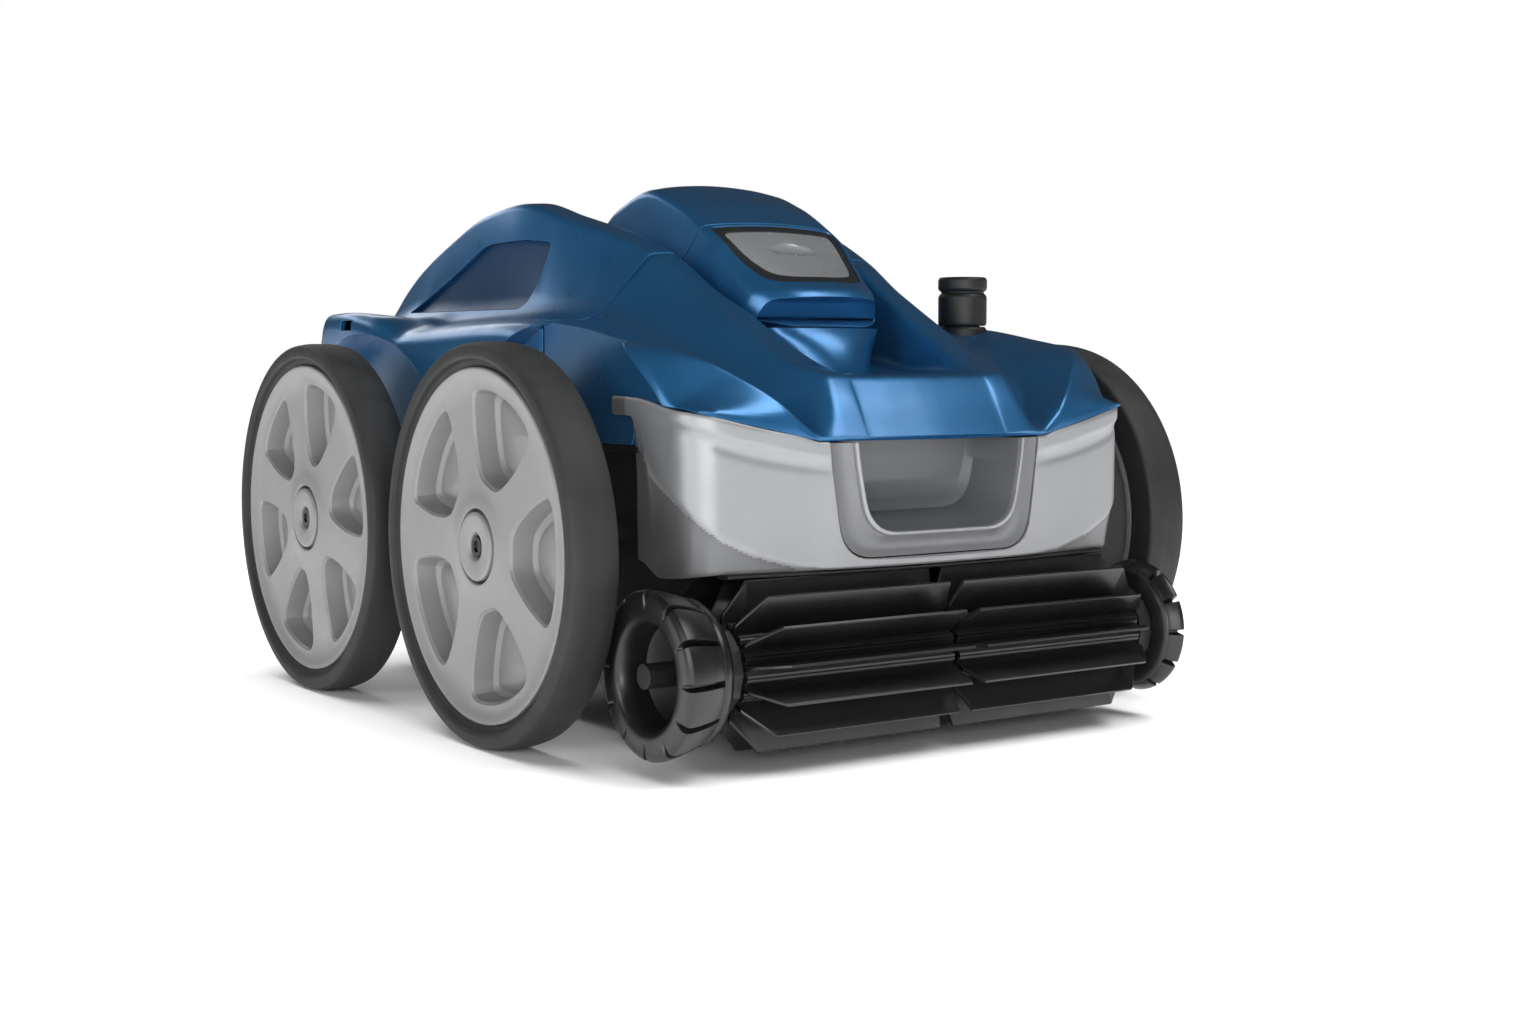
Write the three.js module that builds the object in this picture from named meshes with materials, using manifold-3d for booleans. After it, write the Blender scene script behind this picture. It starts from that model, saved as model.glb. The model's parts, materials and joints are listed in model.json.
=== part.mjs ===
// Pressure-fed pool cleaner on four wheels: scrubbing brush in front, debris canister under a hinged lid,
// and a water turbine that drives the wheels and the brush through a gear pair and belts.
// Millimetres, +Z up, +Y towards the rear, origin under the middle of the overall box.
import * as THREE from "three";
import { mergeVertices } from "three/addons/utils/BufferGeometryUtils.js";
import Module from "manifold-3d";

const wasm = await Module();
wasm.setup();

// ---------- Driving dimensions ----------
const fit = 0.3; // gap between two pieces that touch
const run = 0.35; // radial gap round a turning piece
const reach = 400; // longer than any piece, for cutting tools
const round = 24; // sides of a large round piece
const slim = 12; // sides of a small one

const wheelbase = 216.6;
const tyreRadius = 100;
const tyreWidth = 26;
const bodyHalf = 150; // shoulder's outer edge from the centre plane
const wheelGap = 20.4; // flank to tyre

const brushLead = 112; // brush axis ahead of the front axle
const brushHeight = 48;
const brushRadius = 41; // vane tips
const brushInset = 24; // shoulder's edge to the outer end of a brush section
const brushCore = 20;
const brushGap = 9; // inner end of the vanes from the centre plane
const collarRadius = 15; // collar between the vanes and the centre plane
const collarGap = 1.2; // inner end of the collar from the centre plane
const vaneCount = 14;
const vaneThickness = 2.4;
const vaneLift = 7; // degrees the front vane points above level
const leftLugWheel = { radius: 40, width: 32 };
const rightLugWheel = { radius: 36, width: 12 }; // slim one beside the belt case

const shellWall = 3;
const tubInset = 26; // shoulder's edge to the tub's side
const floorDrop = 64; // tub's floor below the axles
const deckHeight = 150; // where cowls meet the tub
const axleRadius = 6;
const brushShaftRadius = 6;
const boltRadius = 3;

const gearModule = 2;
const gearTeeth = 36;
const pinionTeeth = 12;
const drivePulleyRadius = 16;
const brushPulleyRadius = 13;
const beltThickness = 2.4;

// ---------- Sizes worked out from them ----------
const overallLength = brushRadius + brushLead + wheelbase + tyreRadius;
const frontAxleY = brushRadius + brushLead - overallLength / 2;
const rearAxleY = frontAxleY + wheelbase;
const brushY = frontAxleY - brushLead;
const axleZ = tyreRadius;
const tubFloor = axleZ - floorDrop;
const tubHalf = bodyHalf - tubInset;
const brushHalf = bodyHalf - brushInset;
const tyreInner = bodyHalf + wheelGap;
const tyreOuter = tyreInner + tyreWidth;

// The body's lines further down are drawn for this wheelbase and half width. Places along the body count from
// the front axle up to the middle plane and from the rear axle behind it, so a longer wheelbase stretches the
// body between the wheels; places across it grow with its half width.
const drawnWheelbase = 216.6;
const drawnHalf = 150;
const middle = 80;
const along = (y) => (y < middle ? frontAxleY + y : rearAxleY + y - drawnWheelbase);
const across = (x) => x * (bodyHalf / drawnHalf);

// ---------- Materials ----------
const material = (color, roughness, metalness = 0) =>
  new THREE.MeshStandardMaterial({ color, roughness, metalness });
const blue = material(0x2d6ea5, 0.35, 0.4);
const deepBlue = material(0x17406a, 0.4, 0.3);
const silver = material(0xa9abad, 0.4, 0.3);
const rimGrey = material(0xa5a5a5, 0.45, 0.2);
const tyreRubber = material(0x38393b, 0.7);
const vinyl = material(0x1c1d1f, 0.4);
const blackPlastic = material(0x17181a, 0.55);
const windowGrey = material(0x9a9b9d, 0.3, 0.2);
const steel = material(0xb8bcc0, 0.25, 1);
const canisterGrey = material(0x5f6a72, 0.4);
const foamWhite = material(0xe8e8e2, 0.9);

// ---------- Solids ----------
function solid(geometry) {
  const plain = geometry.index ? geometry.toNonIndexed() : geometry;
  const bare = new THREE.BufferGeometry();
  bare.setAttribute("position", plain.getAttribute("position"));
  const merged = mergeVertices(bare, 1e-4);
  const made = (triVerts) =>
    new wasm.Manifold(new wasm.Mesh({
      numProp: 3,
      vertProperties: merged.attributes.position.array,
      triVerts,
    }));
  const corners = new Uint32Array(merged.index.array);
  const body = made(corners);
  return body.volume() < 0 ? made(corners.reverse()) : body;
}

const join = (...parts) => parts.reduce((sum, part) => sum.add(part));
const cut = (body, ...tools) => tools.reduce((left, tool) => left.subtract(tool), body);
const mirrored = (body) => body.mirror([1, 0, 0]);

function box(x0, x1, y0, y1, z0, z1) {
  const block = new THREE.BoxGeometry(x1 - x0, y1 - y0, z1 - z0);
  return solid(block.translate((x0 + x1) / 2, (y0 + y1) / 2, (z0 + z1) / 2));
}

// Turned solid about an axis along X through (y, z); the profile holds [radius, x] pairs.
function turnedX(profile, y, z, sides = round) {
  const points = profile.map(([radius, x]) => new THREE.Vector2(radius, x));
  const lathe = new THREE.LatheGeometry(points, sides);
  lathe.rotateZ(-Math.PI / 2);
  return solid(lathe.translate(0, y, z));
}

// Turned solid about an upright axis through (x, y); the profile holds [radius, z] pairs.
function turnedZ(profile, x, y, sides = 16) {
  const points = profile.map(([radius, z]) => new THREE.Vector2(radius, z));
  const lathe = new THREE.LatheGeometry(points, sides);
  lathe.rotateX(Math.PI / 2);
  return solid(lathe.translate(x, y, 0));
}

const rodX = (radius, x0, x1, y, z, sides = slim) =>
  turnedX([[0, x0], [radius, x0], [radius, x1], [0, x1]], y, z, sides);
const rodZ = (radius, z0, z1, x, y, sides = slim) =>
  turnedZ([[0, z0], [radius, z0], [radius, z1], [0, z1]], x, y, sides);

function rodY(radius, y0, y1, x, z, sides = slim) {
  const rod = new THREE.CylinderGeometry(radius, radius, y1 - y0, sides);
  return solid(rod.translate(x, (y0 + y1) / 2, z));
}

function shapeOf(outline) {
  if (outline instanceof THREE.Shape) return outline;
  return new THREE.Shape(outline.map(([a, b]) => new THREE.Vector2(a, b)));
}

function extruded(outline, depth, curveSegments = 4) {
  return new THREE.ExtrudeGeometry(shapeOf(outline), { depth, bevelEnabled: false, curveSegments });
}

// Outline in (y, z), standing from x0 to x1.
function slabX(outline, x0, x1, curveSegments) {
  const slab = extruded(outline, x1 - x0, curveSegments);
  slab.applyMatrix4(new THREE.Matrix4().set(0, 0, 1, x0, 1, 0, 0, 0, 0, 1, 0, 0, 0, 0, 0, 1));
  return solid(slab);
}

// Outline in (x, z), standing from y0 to y1.
function slabY(outline, y0, y1) {
  const slab = extruded(outline, y1 - y0);
  slab.rotateX(Math.PI / 2);
  return solid(slab.translate(0, y1, 0));
}

// Outline in (x, y), standing from z0 to z1.
function slabZ(outline, z0, z1) {
  return solid(extruded(outline, z1 - z0).translate(0, 0, z0));
}

// Closed surface through rings of equal length, each a list of [x, y, z]. The two end rings are capped,
// and their triangles are found in the plane of the two given axes.
function lofted(rings, axes) {
  const count = rings[0].length;
  const index = [];
  for (let r = 0; r + 1 < rings.length; r++) {
    for (let i = 0; i < count; i++) {
      const a = r * count + i;
      const b = r * count + ((i + 1) % count);
      index.push(a, b, b + count, a, b + count, a + count);
    }
  }
  const flat = (ring) => ring.map((point) => new THREE.Vector2(point[axes[0]], point[axes[1]]));
  const last = (rings.length - 1) * count;
  const side = Math.sign(THREE.ShapeUtils.area(flat(rings[0])));
  const cap = (ring, start, turned) => {
    for (const [a, b, c] of THREE.ShapeUtils.triangulateShape(flat(ring), [])) {
      const facing = turned ? [a, c, b] : [a, b, c];
      index.push(...facing.map((corner) => start + corner));
    }
  };
  cap(rings[0], 0, side > 0);
  cap(rings.at(-1), last, side < 0);
  const geometry = new THREE.BufferGeometry();
  geometry.setAttribute("position", new THREE.Float32BufferAttribute(rings.flat(2), 3));
  geometry.setIndex(index);
  return solid(geometry);
}

// A line given as rows of [place, value, value ...], read at any place along it.
function read(line, place) {
  const next = line.findIndex((row) => row[0] >= place);
  if (next === 0) return line[0].slice(1);
  if (next < 0) return line.at(-1).slice(1);
  const a = line[next - 1];
  const b = line[next];
  const share = (place - a[0]) / (b[0] - a[0]);
  return a.slice(1).map((value, i) => value + share * (b[i + 1] - value));
}

const root = new THREE.Group();
function add(name, body, finish) {
  const made = body.getMesh();
  const geometry = new THREE.BufferGeometry();
  geometry.setAttribute("position", new THREE.BufferAttribute(made.vertProperties, 3));
  geometry.setIndex(new THREE.BufferAttribute(made.triVerts, 1));
  geometry.computeVertexNormals();
  const mesh = new THREE.Mesh(geometry, finish);
  mesh.name = name;
  root.add(mesh);
}

// ---------- Wheels ----------
const tyreWall = 12.5;
const beadRadius = tyreRadius - tyreWall; // rim's outer flange
const barrelRadius = beadRadius - 5.5;
const rimFace = tyreOuter - 2.5;
const flangeWidth = 6;
const pocketDepth = 15;
const webThickness = 3;
const pocketOuter = beadRadius - 10.5;
const pocketInner = 36;
const spokeHalfOuter = 16;
const spokeHalfInner = 12;
const frontSpokes = 5;
const rearSpokes = 6;
const hubRadius = 27;
const hubLength = 30;
const capRadius = 17;
const capRecess = 1.5;
const capDepth = 7;
const capFace = rimFace + 1;
const screwHeadRadius = 5.6;
const axleEnd = rimFace - capDepth - 2;
const screwGrip = 12;

const tyreProfile = [
  [barrelRadius + fit, tyreInner],
  [tyreRadius - 5, tyreInner],
  [tyreRadius, tyreInner + 5],
  [tyreRadius, tyreOuter - 5],
  [tyreRadius - 5, tyreOuter],
  [beadRadius + fit, tyreOuter - 0.8],
  [beadRadius + fit, rimFace - flangeWidth - fit],
  [barrelRadius + fit, rimFace - flangeWidth - fit],
  [barrelRadius + fit, tyreInner],
];

const rimProfile = [
  [0, rimFace - hubLength],
  [hubRadius - 9, rimFace - hubLength],
  [hubRadius - 6, rimFace - pocketDepth - webThickness],
  [barrelRadius - 3, rimFace - pocketDepth - webThickness],
  [barrelRadius - 3, tyreInner + 0.5],
  [barrelRadius, tyreInner + 0.5],
  [barrelRadius, rimFace - flangeWidth],
  [beadRadius, rimFace - flangeWidth],
  [beadRadius, rimFace],
  [capRadius + capRecess, rimFace],
  [capRadius + capRecess, rimFace - capDepth],
  [0, rimFace - capDepth],
];

const capProfile = [
  [boltRadius + fit, rimFace - capDepth + fit],
  [capRadius, rimFace - capDepth + fit],
  [capRadius, capFace - 1],
  [capRadius - 1.5, capFace],
  [screwHeadRadius + 1.4, capFace - 0.5],
  [screwHeadRadius + fit, capFace - 3],
  [boltRadius + fit, capFace - 3],
  [boltRadius + fit, rimFace - capDepth + fit],
];

const screwProfile = [
  [0, axleEnd - screwGrip],
  [boltRadius, axleEnd - screwGrip],
  [boltRadius, capFace - 3 + fit],
  [screwHeadRadius, capFace - 3 + fit],
  [screwHeadRadius, capFace - 0.8],
  [2.5, capFace - 0.5],
  [2.5, capFace - 2],
  [0, capFace - 2],
];

// Recess between two spokes, in the plane of the wheel.
function pocketOutline(middleAngle, spokes) {
  const half = (radius, spokeHalf) => Math.PI / spokes - spokeHalf / radius;
  const outer = half(pocketOuter, spokeHalfOuter);
  const inner = half(pocketInner, spokeHalfInner);
  const outline = new THREE.Shape();
  outline.absarc(0, 0, pocketOuter, middleAngle - outer, middleAngle + outer, false);
  outline.absarc(0, 0, pocketInner, middleAngle + inner, middleAngle - inner, true);
  return outline;
}

function wheel(name, side, y, spokes, firstSpoke) {
  const turned = (profile, sides) =>
    turnedX(profile.map(([radius, x]) => [radius, side * x]), y, axleZ, sides);
  const ends = [side * (rimFace - pocketDepth), side * (rimFace + 5)].sort((a, b) => a - b);
  const pockets = Array.from({ length: spokes }, (_, i) => {
    const outline = pocketOutline(firstSpoke + ((i + 0.5) * 2 * Math.PI) / spokes, spokes);
    return slabX(outline, ...ends, 2).translate([0, y, axleZ]);
  });
  const bore = rodX(axleRadius + fit, -reach, reach, y, axleZ);
  add(name + "_rim", cut(turned(rimProfile, round), ...pockets, bore), rimGrey);
  add(name + "_tyre", turned(tyreProfile, round), tyreRubber);
  add(name + "_hub_cap", turned(capProfile, slim), rimGrey);
  add(name + "_screw", turned(screwProfile, 8), steel);
}

function axle(name, y) {
  const holes = [-1, 1].map((side) => {
    const ends = [side * (axleEnd - screwGrip - fit), side * reach].sort((a, b) => a - b);
    return rodX(boltRadius + fit, ...ends, y, axleZ, 8);
  });
  add(name, cut(rodX(axleRadius, -axleEnd, axleEnd, y, axleZ), ...holes), steel);
}

const degrees = Math.PI / 180;
axle("front_axle", frontAxleY);
axle("rear_axle", rearAxleY);
for (const side of [-1, 1]) {
  const hand = side < 0 ? "left" : "right";
  wheel("front_" + hand, side, frontAxleY, frontSpokes, 2 * degrees);
  wheel("rear_" + hand, side, rearAxleY, rearSpokes, 16 * degrees);
}

// ---------- Bushes, pulleys, gears and belts ----------
const bushLength = 9;
const bushRadius = 9;
const bushFlange = 12;

function bush(name, side, y) {
  const inner = tubHalf - shellWall - 2.5;
  const outer = inner + bushLength;
  const profile = [
    [axleRadius + run, inner], [bushFlange, inner], [bushFlange, tubHalf - shellWall - fit],
    [bushRadius, tubHalf - shellWall - fit], [bushRadius, outer], [axleRadius + run, outer],
    [axleRadius + run, inner],
  ];
  add(name, turnedX(profile.map(([radius, x]) => [radius, side * x]), y, axleZ, slim), steel);
}
bush("front_left_bush", -1, frontAxleY);
bush("front_right_bush", 1, frontAxleY);
bush("rear_left_bush", -1, rearAxleY);
bush("rear_right_bush", 1, rearAxleY);

const flangeRise = 3.4;
const flangeThickness = 1.4;

// Flanged pulley for a flat belt; the belt runs between x and x + width.
function pulley(radius, x, width, bore, y, z) {
  const x0 = x - fit - flangeThickness;
  const x1 = x + width + fit + flangeThickness;
  const rise = radius + flangeRise;
  const profile = [
    [bore + fit, x0], [rise, x0], [rise, x0 + flangeThickness], [radius, x0 + flangeThickness],
    [radius, x1 - flangeThickness], [rise, x1 - flangeThickness], [rise, x1], [bore + fit, x1],
    [bore + fit, x0],
  ];
  return turnedX(profile, y, z, 16);
}

// Band round two equal circles, as an outline from x to x + width.
function band(radius, x, width, [y0, z0], [y1, z1]) {
  const lean = Math.atan2(z1 - z0, y1 - y0);
  const span = Math.hypot(z1 - z0, y1 - y0);
  const outline = new THREE.Shape();
  outline.absarc(0, 0, radius, Math.PI / 2, (3 * Math.PI) / 2, false);
  outline.absarc(span, 0, radius, -Math.PI / 2, Math.PI / 2, false);
  return slabX(outline, x, x + width).rotate([lean / degrees, 0, 0]).translate([0, y0, z0]);
}

function belt(radius, x, width, from, to) {
  const inside = band(radius + run, x - 1, width + 2, from, to);
  return cut(band(radius + run + beltThickness, x, width, from, to), inside);
}

const frontCentre = [frontAxleY, axleZ];
const rearCentre = [rearAxleY, axleZ];
const brushCentre = [brushY, brushHeight];

const driveX = 104;
const driveWidth = 8;
add("front_drive_pulley", pulley(drivePulleyRadius, driveX, driveWidth, axleRadius, ...frontCentre), vinyl);
add("rear_drive_pulley", pulley(drivePulleyRadius, driveX, driveWidth, axleRadius, ...rearCentre), vinyl);
add("drive_belt", belt(drivePulleyRadius, driveX, driveWidth, frontCentre, rearCentre), tyreRubber);

// The brush belt runs in a flat case beside the tub.
const caseX = brushHalf + 0.8;
const caseWidth = 8;
const caseWall = 1.4;
const caseRadius = 22;
const brushBeltX = caseX + caseWall + flangeThickness + 2 * fit;
const brushBeltWidth = caseX + caseWidth - brushBeltX - 2 * fit - flangeThickness - 0.2;
const brushPulleys = { x: brushBeltX, width: brushBeltWidth };
function brushPulley(name, bore, centre) {
  const { x, width } = brushPulleys;
  add(name, pulley(brushPulleyRadius, x, width, bore, ...centre), vinyl);
}
brushPulley("brush_drive_pulley", axleRadius, frontCentre);
brushPulley("brush_pulley", brushShaftRadius, brushCentre);
add("brush_belt", belt(brushPulleyRadius, brushBeltX, brushBeltWidth, frontCentre, brushCentre), tyreRubber);

const caseOpening = band(caseRadius - 2, caseX + caseWall, reach, frontCentre, brushCentre);
add("brush_belt_case", cut(
  band(caseRadius, caseX, caseWidth, frontCentre, brushCentre),
  caseOpening,
  rodX(bushRadius + fit, 0, reach, ...frontCentre),
  rodX(brushShaftRadius + run, 0, reach, ...brushCentre),
), blackPlastic);

const armFoot = along(-62);
const armOutline = [[brushY, brushHeight - 15], [armFoot, brushHeight - 10], [armFoot, brushHeight + 14],
  [brushY, brushHeight + 15]];
add("left_brush_arm", cut(
  join(
    rodX(caseRadius, -caseX - caseWidth, -caseX, ...brushCentre),
    slabX(armOutline, -caseX - caseWidth, -caseX),
    box(-caseX - caseWidth, -tubHalf - fit, armFoot - 4, armFoot + 34, brushHeight - 10, brushHeight + 14),
  ),
  rodX(brushShaftRadius + run, -reach, 0, ...brushCentre),
), blackPlastic);

// Straight-flanked gear; its first tooth or gap is at angle zero.
function gearOutline(teeth, phase) {
  const pitch = (teeth * gearModule) / 2;
  const root = pitch - 1.3 * gearModule;
  const tip = pitch + 0.85 * gearModule;
  const half = Math.PI / teeth;
  const points = [];
  for (let i = 0; i < teeth; i++) {
    const at = (2 * i + phase) * half;
    for (const [radius, share] of [[root, -0.62], [tip, -0.2], [tip, 0.2], [root, 0.62]]) {
      points.push([radius * Math.cos(at + share * half), radius * Math.sin(at + share * half)]);
    }
  }
  return points;
}

const gearX = 92;
const gearWidth = 7;
const gearSpan = ((gearTeeth + pinionTeeth) * gearModule) / 2;
const turbineLift = -30 * degrees;
const turbineY = frontAxleY + gearSpan * Math.cos(turbineLift);
const turbineZ = axleZ + gearSpan * Math.sin(turbineLift);
const turbineCentre = [turbineY, turbineZ];
function gear(teeth, phase, y, z) {
  const disc = slabX(gearOutline(teeth, phase), gearX, gearX + gearWidth);
  return disc.rotate([turbineLift / degrees, 0, 0]).translate([0, y, z]);
}
add("turbine_gear", cut(
  gear(gearTeeth, 0, ...frontCentre),
  rodX(axleRadius + fit, 0, reach, ...frontCentre),
), canisterGrey);

// ---------- Turbine ----------
const rotorRadius = 21;
const rotorX = 58;
const rotorWidth = 24;
const turbineShaft = 4;
const bladeCount = 8;
const housingGap = 2;
const housingWall = 2.5;
const housingRadius = rotorRadius + housingGap + housingWall;
const pinionPhase = pinionTeeth % 2 === 0 ? 1 : 0;

const blades = Array.from({ length: bladeCount }, (_, i) =>
  box(rotorX, rotorX + rotorWidth, -1.2, 1.2, 5, rotorRadius)
    .rotate([(i * 360) / bladeCount, 0, 0])
    .translate([0, ...turbineCentre]));
add("turbine_rotor", join(
  rodX(turbineShaft, rotorX - 8, gearX + gearWidth, ...turbineCentre),
  rodX(7, rotorX, rotorX + rotorWidth, ...turbineCentre),
  gear(pinionTeeth, pinionPhase, ...turbineCentre),
  ...blades,
), canisterGrey);

const housingStart = rotorX - housingGap;
const housingEnd = rotorX + rotorWidth + housingGap;
const pipeRadius = 9;
const pipeWall = 2;
const housingShell = cut(
  rodX(housingRadius, housingStart - housingWall, housingEnd + housingWall, ...turbineCentre, 16),
  rodX(rotorRadius + housingGap, housingStart, housingEnd, ...turbineCentre, 16),
  rodX(turbineShaft + run, 0, reach, ...turbineCentre),
);
const housingMiddle = (housingStart + housingEnd) / 2;
const inletTop = turbineZ + housingRadius + 6;
const outletEnd = turbineY + housingRadius + 8;
const housing = cut(
  join(
    housingShell,
    cut(
      join(
        rodZ(pipeRadius, turbineZ + 10, inletTop, housingMiddle, turbineY),
        rodY(pipeRadius, turbineY + 10, outletEnd, housingMiddle, turbineZ),
      ),
      rodX(rotorRadius + housingGap, housingStart, housingEnd, ...turbineCentre, 16),
    ),
  ),
  rodZ(pipeRadius - pipeWall, turbineZ, inletTop + 1, housingMiddle, turbineY),
  rodY(pipeRadius - pipeWall, turbineY, outletEnd + 1, housingMiddle, turbineZ),
);
add("turbine_housing", housing, blackPlastic);

// ---------- Hose inlet ----------
const inletX = across(120);
const inletY = along(4);
const inletBore = 7.5;
const inletRadius = 14;
const socketTop = 210;
const socketBottom = 186;
const sleeveTop = 228.5;
const capTop = 238;
const spigotRadius = 10;
const bendRoom = 12;

add("inlet_socket", turnedZ([
  [spigotRadius - 2.4, socketBottom - bendRoom], [spigotRadius, socketBottom - bendRoom],
  [spigotRadius, socketBottom], [inletRadius - 1, socketBottom],
  [inletRadius - 1, socketTop], [spigotRadius + run, socketTop],
  [spigotRadius + run, socketBottom + 8], [spigotRadius - 2.4, socketBottom + 8],
  [spigotRadius - 2.4, socketBottom - bendRoom],
], inletX, inletY), blackPlastic);
add("swivel_sleeve", turnedZ([
  [inletBore, socketBottom + 9], [spigotRadius, socketBottom + 9], [spigotRadius, socketTop + fit],
  [inletRadius, socketTop + fit], [inletRadius, sleeveTop], [inletRadius - 2, sleeveTop],
  [inletRadius - 2, sleeveTop + 1.2], [inletRadius, sleeveTop + 1.2], [inletRadius, capTop - 1],
  [inletRadius - 1, capTop], [inletBore, capTop], [inletBore, socketBottom + 9],
], inletX, inletY), blackPlastic);

// Round tube along a curve that leaves the start and enters the end straight.
function tube(start, afterStart, beforeEnd, end, radius, inside, steps) {
  const ring = new THREE.Shape();
  ring.absarc(0, 0, radius, 0, 2 * Math.PI, false);
  const hole = new THREE.Path();
  hole.absarc(0, 0, inside, 0, 2 * Math.PI, true);
  ring.holes.push(hole);
  const corners = [start, afterStart, beforeEnd, end].map((point) => new THREE.Vector3(...point));
  const curve = new THREE.CubicBezierCurve3(...corners);
  return solid(new THREE.ExtrudeGeometry(ring, { steps, extrudePath: curve, curveSegments: 4 }));
}

const feedTop = socketBottom - bendRoom - fit;
const feedBottom = inletTop + fit;
const feedHeight = feedTop - feedBottom;
add("feed_pipe", tube(
  [inletX, inletY, feedTop],
  [inletX, inletY, feedTop - 0.45 * feedHeight],
  [housingMiddle, turbineY, feedBottom + 0.9 * feedHeight],
  [housingMiddle, turbineY, feedBottom],
  pipeRadius, pipeRadius - pipeWall, 7,
), vinyl);

// ---------- Tub ----------
const hoodRadius = brushRadius + 4.5;
const hoodWall = 2.5;
const tubFront = along(-80);
const tubRear = along(285);
const throatRadius = 26;
const throatY = along(92);

function tubOutline() {
  const floorStart = Math.asin((brushHeight - tubFloor) / hoodRadius);
  const outline = new THREE.Shape();
  outline.absarc(brushY, brushHeight, hoodRadius, -floorStart, 80 * degrees, false);
  outline.absarc(brushY, brushHeight, hoodRadius + hoodWall, 80 * degrees, 52 * degrees, true);
  outline.lineTo(tubFront, deckHeight - fit);
  outline.lineTo(tubRear, deckHeight - fit);
  outline.lineTo(tubRear, tubFloor + 24);
  outline.lineTo(tubRear - 24, tubFloor);
  return outline;
}
const tubInside = [
  [tubFront + shellWall, deckHeight + 1], [tubFront + shellWall, 100], [along(-58), 80],
  [along(-58), tubFloor + shellWall], [tubRear - 26, tubFloor + shellWall],
  [tubRear - shellWall, tubFloor + 26], [tubRear - shellWall, deckHeight + 1],
];
const archFace = across(138);
const archRadius = tyreRadius + 12;
const rearArchRadius = tyreRadius + 6;
const wheelArch = (radius, y, face) => join(
  rodX(radius, face, reach, y, axleZ, round), rodX(radius, -reach, -face, y, axleZ, round));
const flangeStart = along(-60);
const flangeEnd = tubRear - 4;
const flangeTop = deckHeight - fit - 0.4;
const flangeOutline = [[flangeStart, flangeTop - shellWall], [flangeStart, flangeTop],
  [flangeEnd, flangeTop], [flangeEnd, flangeTop - shellWall]];
const tubFlange = cut(
  slabX(flangeOutline, tubHalf - 1, bodyHalf - shellWall),
  wheelArch(archRadius, frontAxleY, archFace - 0.5),
  wheelArch(rearArchRadius, rearAxleY, archFace + 2),
);
const jetX = 0;
const jetZ = turbineZ;
const jetRadius = 12;
add("chassis_tub", cut(
  join(
    cut(slabX(tubOutline(), -tubHalf, tubHalf), slabX(tubInside, -tubHalf + shellWall, tubHalf - shellWall)),
    tubFlange,
    mirrored(tubFlange),
  ),
  rodX(bushRadius + fit, -reach, reach, ...frontCentre),
  rodX(bushRadius + fit, -reach, reach, ...rearCentre),
  rodZ(throatRadius + 2 * fit, 0, axleZ - 30, 0, throatY, 16),
  rodY(jetRadius + 2 * fit, tubRear - 20, tubRear + 20, jetX, jetZ),
  rodZ(pipeRadius + 3, deckHeight - 12, reach, inletX, inletY),
), blackPlastic);

// ---------- Cowls: one skin from the front edge to the tail, parted at the seam ----------
// Rows hold the place behind the front axle, then x and z.
const finOuter = [
  [-121, 60, 155], [-107, 58, 180], [-103, 58, 184], [-78, 64, 191], [-28, 67, 215], [-4, 67, 228],
  [32, 73, 247], [57, 78, 257], [101, 89, 270], [137, 95, 279], [171, 98, 275], [212, 100, 262],
  [270, 105, 230], [284, 105, 216],
];
const finInner = [
  [-121, 45, 154.5], [-107, 45, 179], [-103, 44, 183.4], [-91, 43, 186], [-55, 48, 202],
  [-28, 50, 216], [-4, 54, 228], [32, 56, 248], [57, 60, 258], [101, 70, 271], [137, 76, 280],
  [171, 79, 276], [212, 82, 263], [270, 88, 231], [284, 90, 216.6],
];
const channel = [
  [-121, 154], [-107, 178], [-103, 183], [-48, 184], [-4, 190], [32, 200], [101, 205], [150, 214],
  [158, 232], [190, 226], [270, 204], [284, 202],
];
const finFoot = [
  [-121, 71, 154], [-107, 72, 157], [-80, 85, 172], [-45, 95, 188], [-4, 105, 203], [32, 108, 211],
  [101, 108, 213], [212, 112, 213], [284, 115, 210],
];
const crown = [
  [-121, 104, 160], [-107, 110, 163], [-90, 120, 186], [-70, 125, 197], [-45, 128, 202],
  [-4, 130, 209], [60, 134, 213], [141, 135, 211], [177, 138, 209], [205, 142, 217], [270, 142, 219],
  [284, 140, 212],
];
const edge = [
  [-121, 134, 168], [-107, 137, 170], [-90, 141, 184], [-70, 144, 195], [-45, 147, 200],
  [13, 150, 206], [60, 152, 208], [141, 153, 205], [177, 154, 204], [205, 158, 214], [240, 160, 219],
  [268, 159, 218], [284, 155, 208],
];
const skirt = [
  [-121, 135, 166.5], [-107, 138, 168.4], [-95, 142, 169.5], [-60, 148, 173], [-55, 150, 150],
  [177, 152, 150], [205, 156, 150], [268, 156, 150], [284, 152, 150],
];
// Height of the line where cowl and bumper meet, from the middle outwards.
const parting = [
  [0, 152], [71, 152.5], [101, 159], [135, 166.5], [138, 166.9], [140, 167.6],
];
const skirtFront = [101, 71, 0].map((x) => [x, ...read(parting, x)]);
const cowlFront = -121;
const cowlTail = 284;
const noseBow = 12; // how far the front corners lie behind the middle
const bowAt = (x) => noseBow * (x / across(136)) ** 2;

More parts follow.
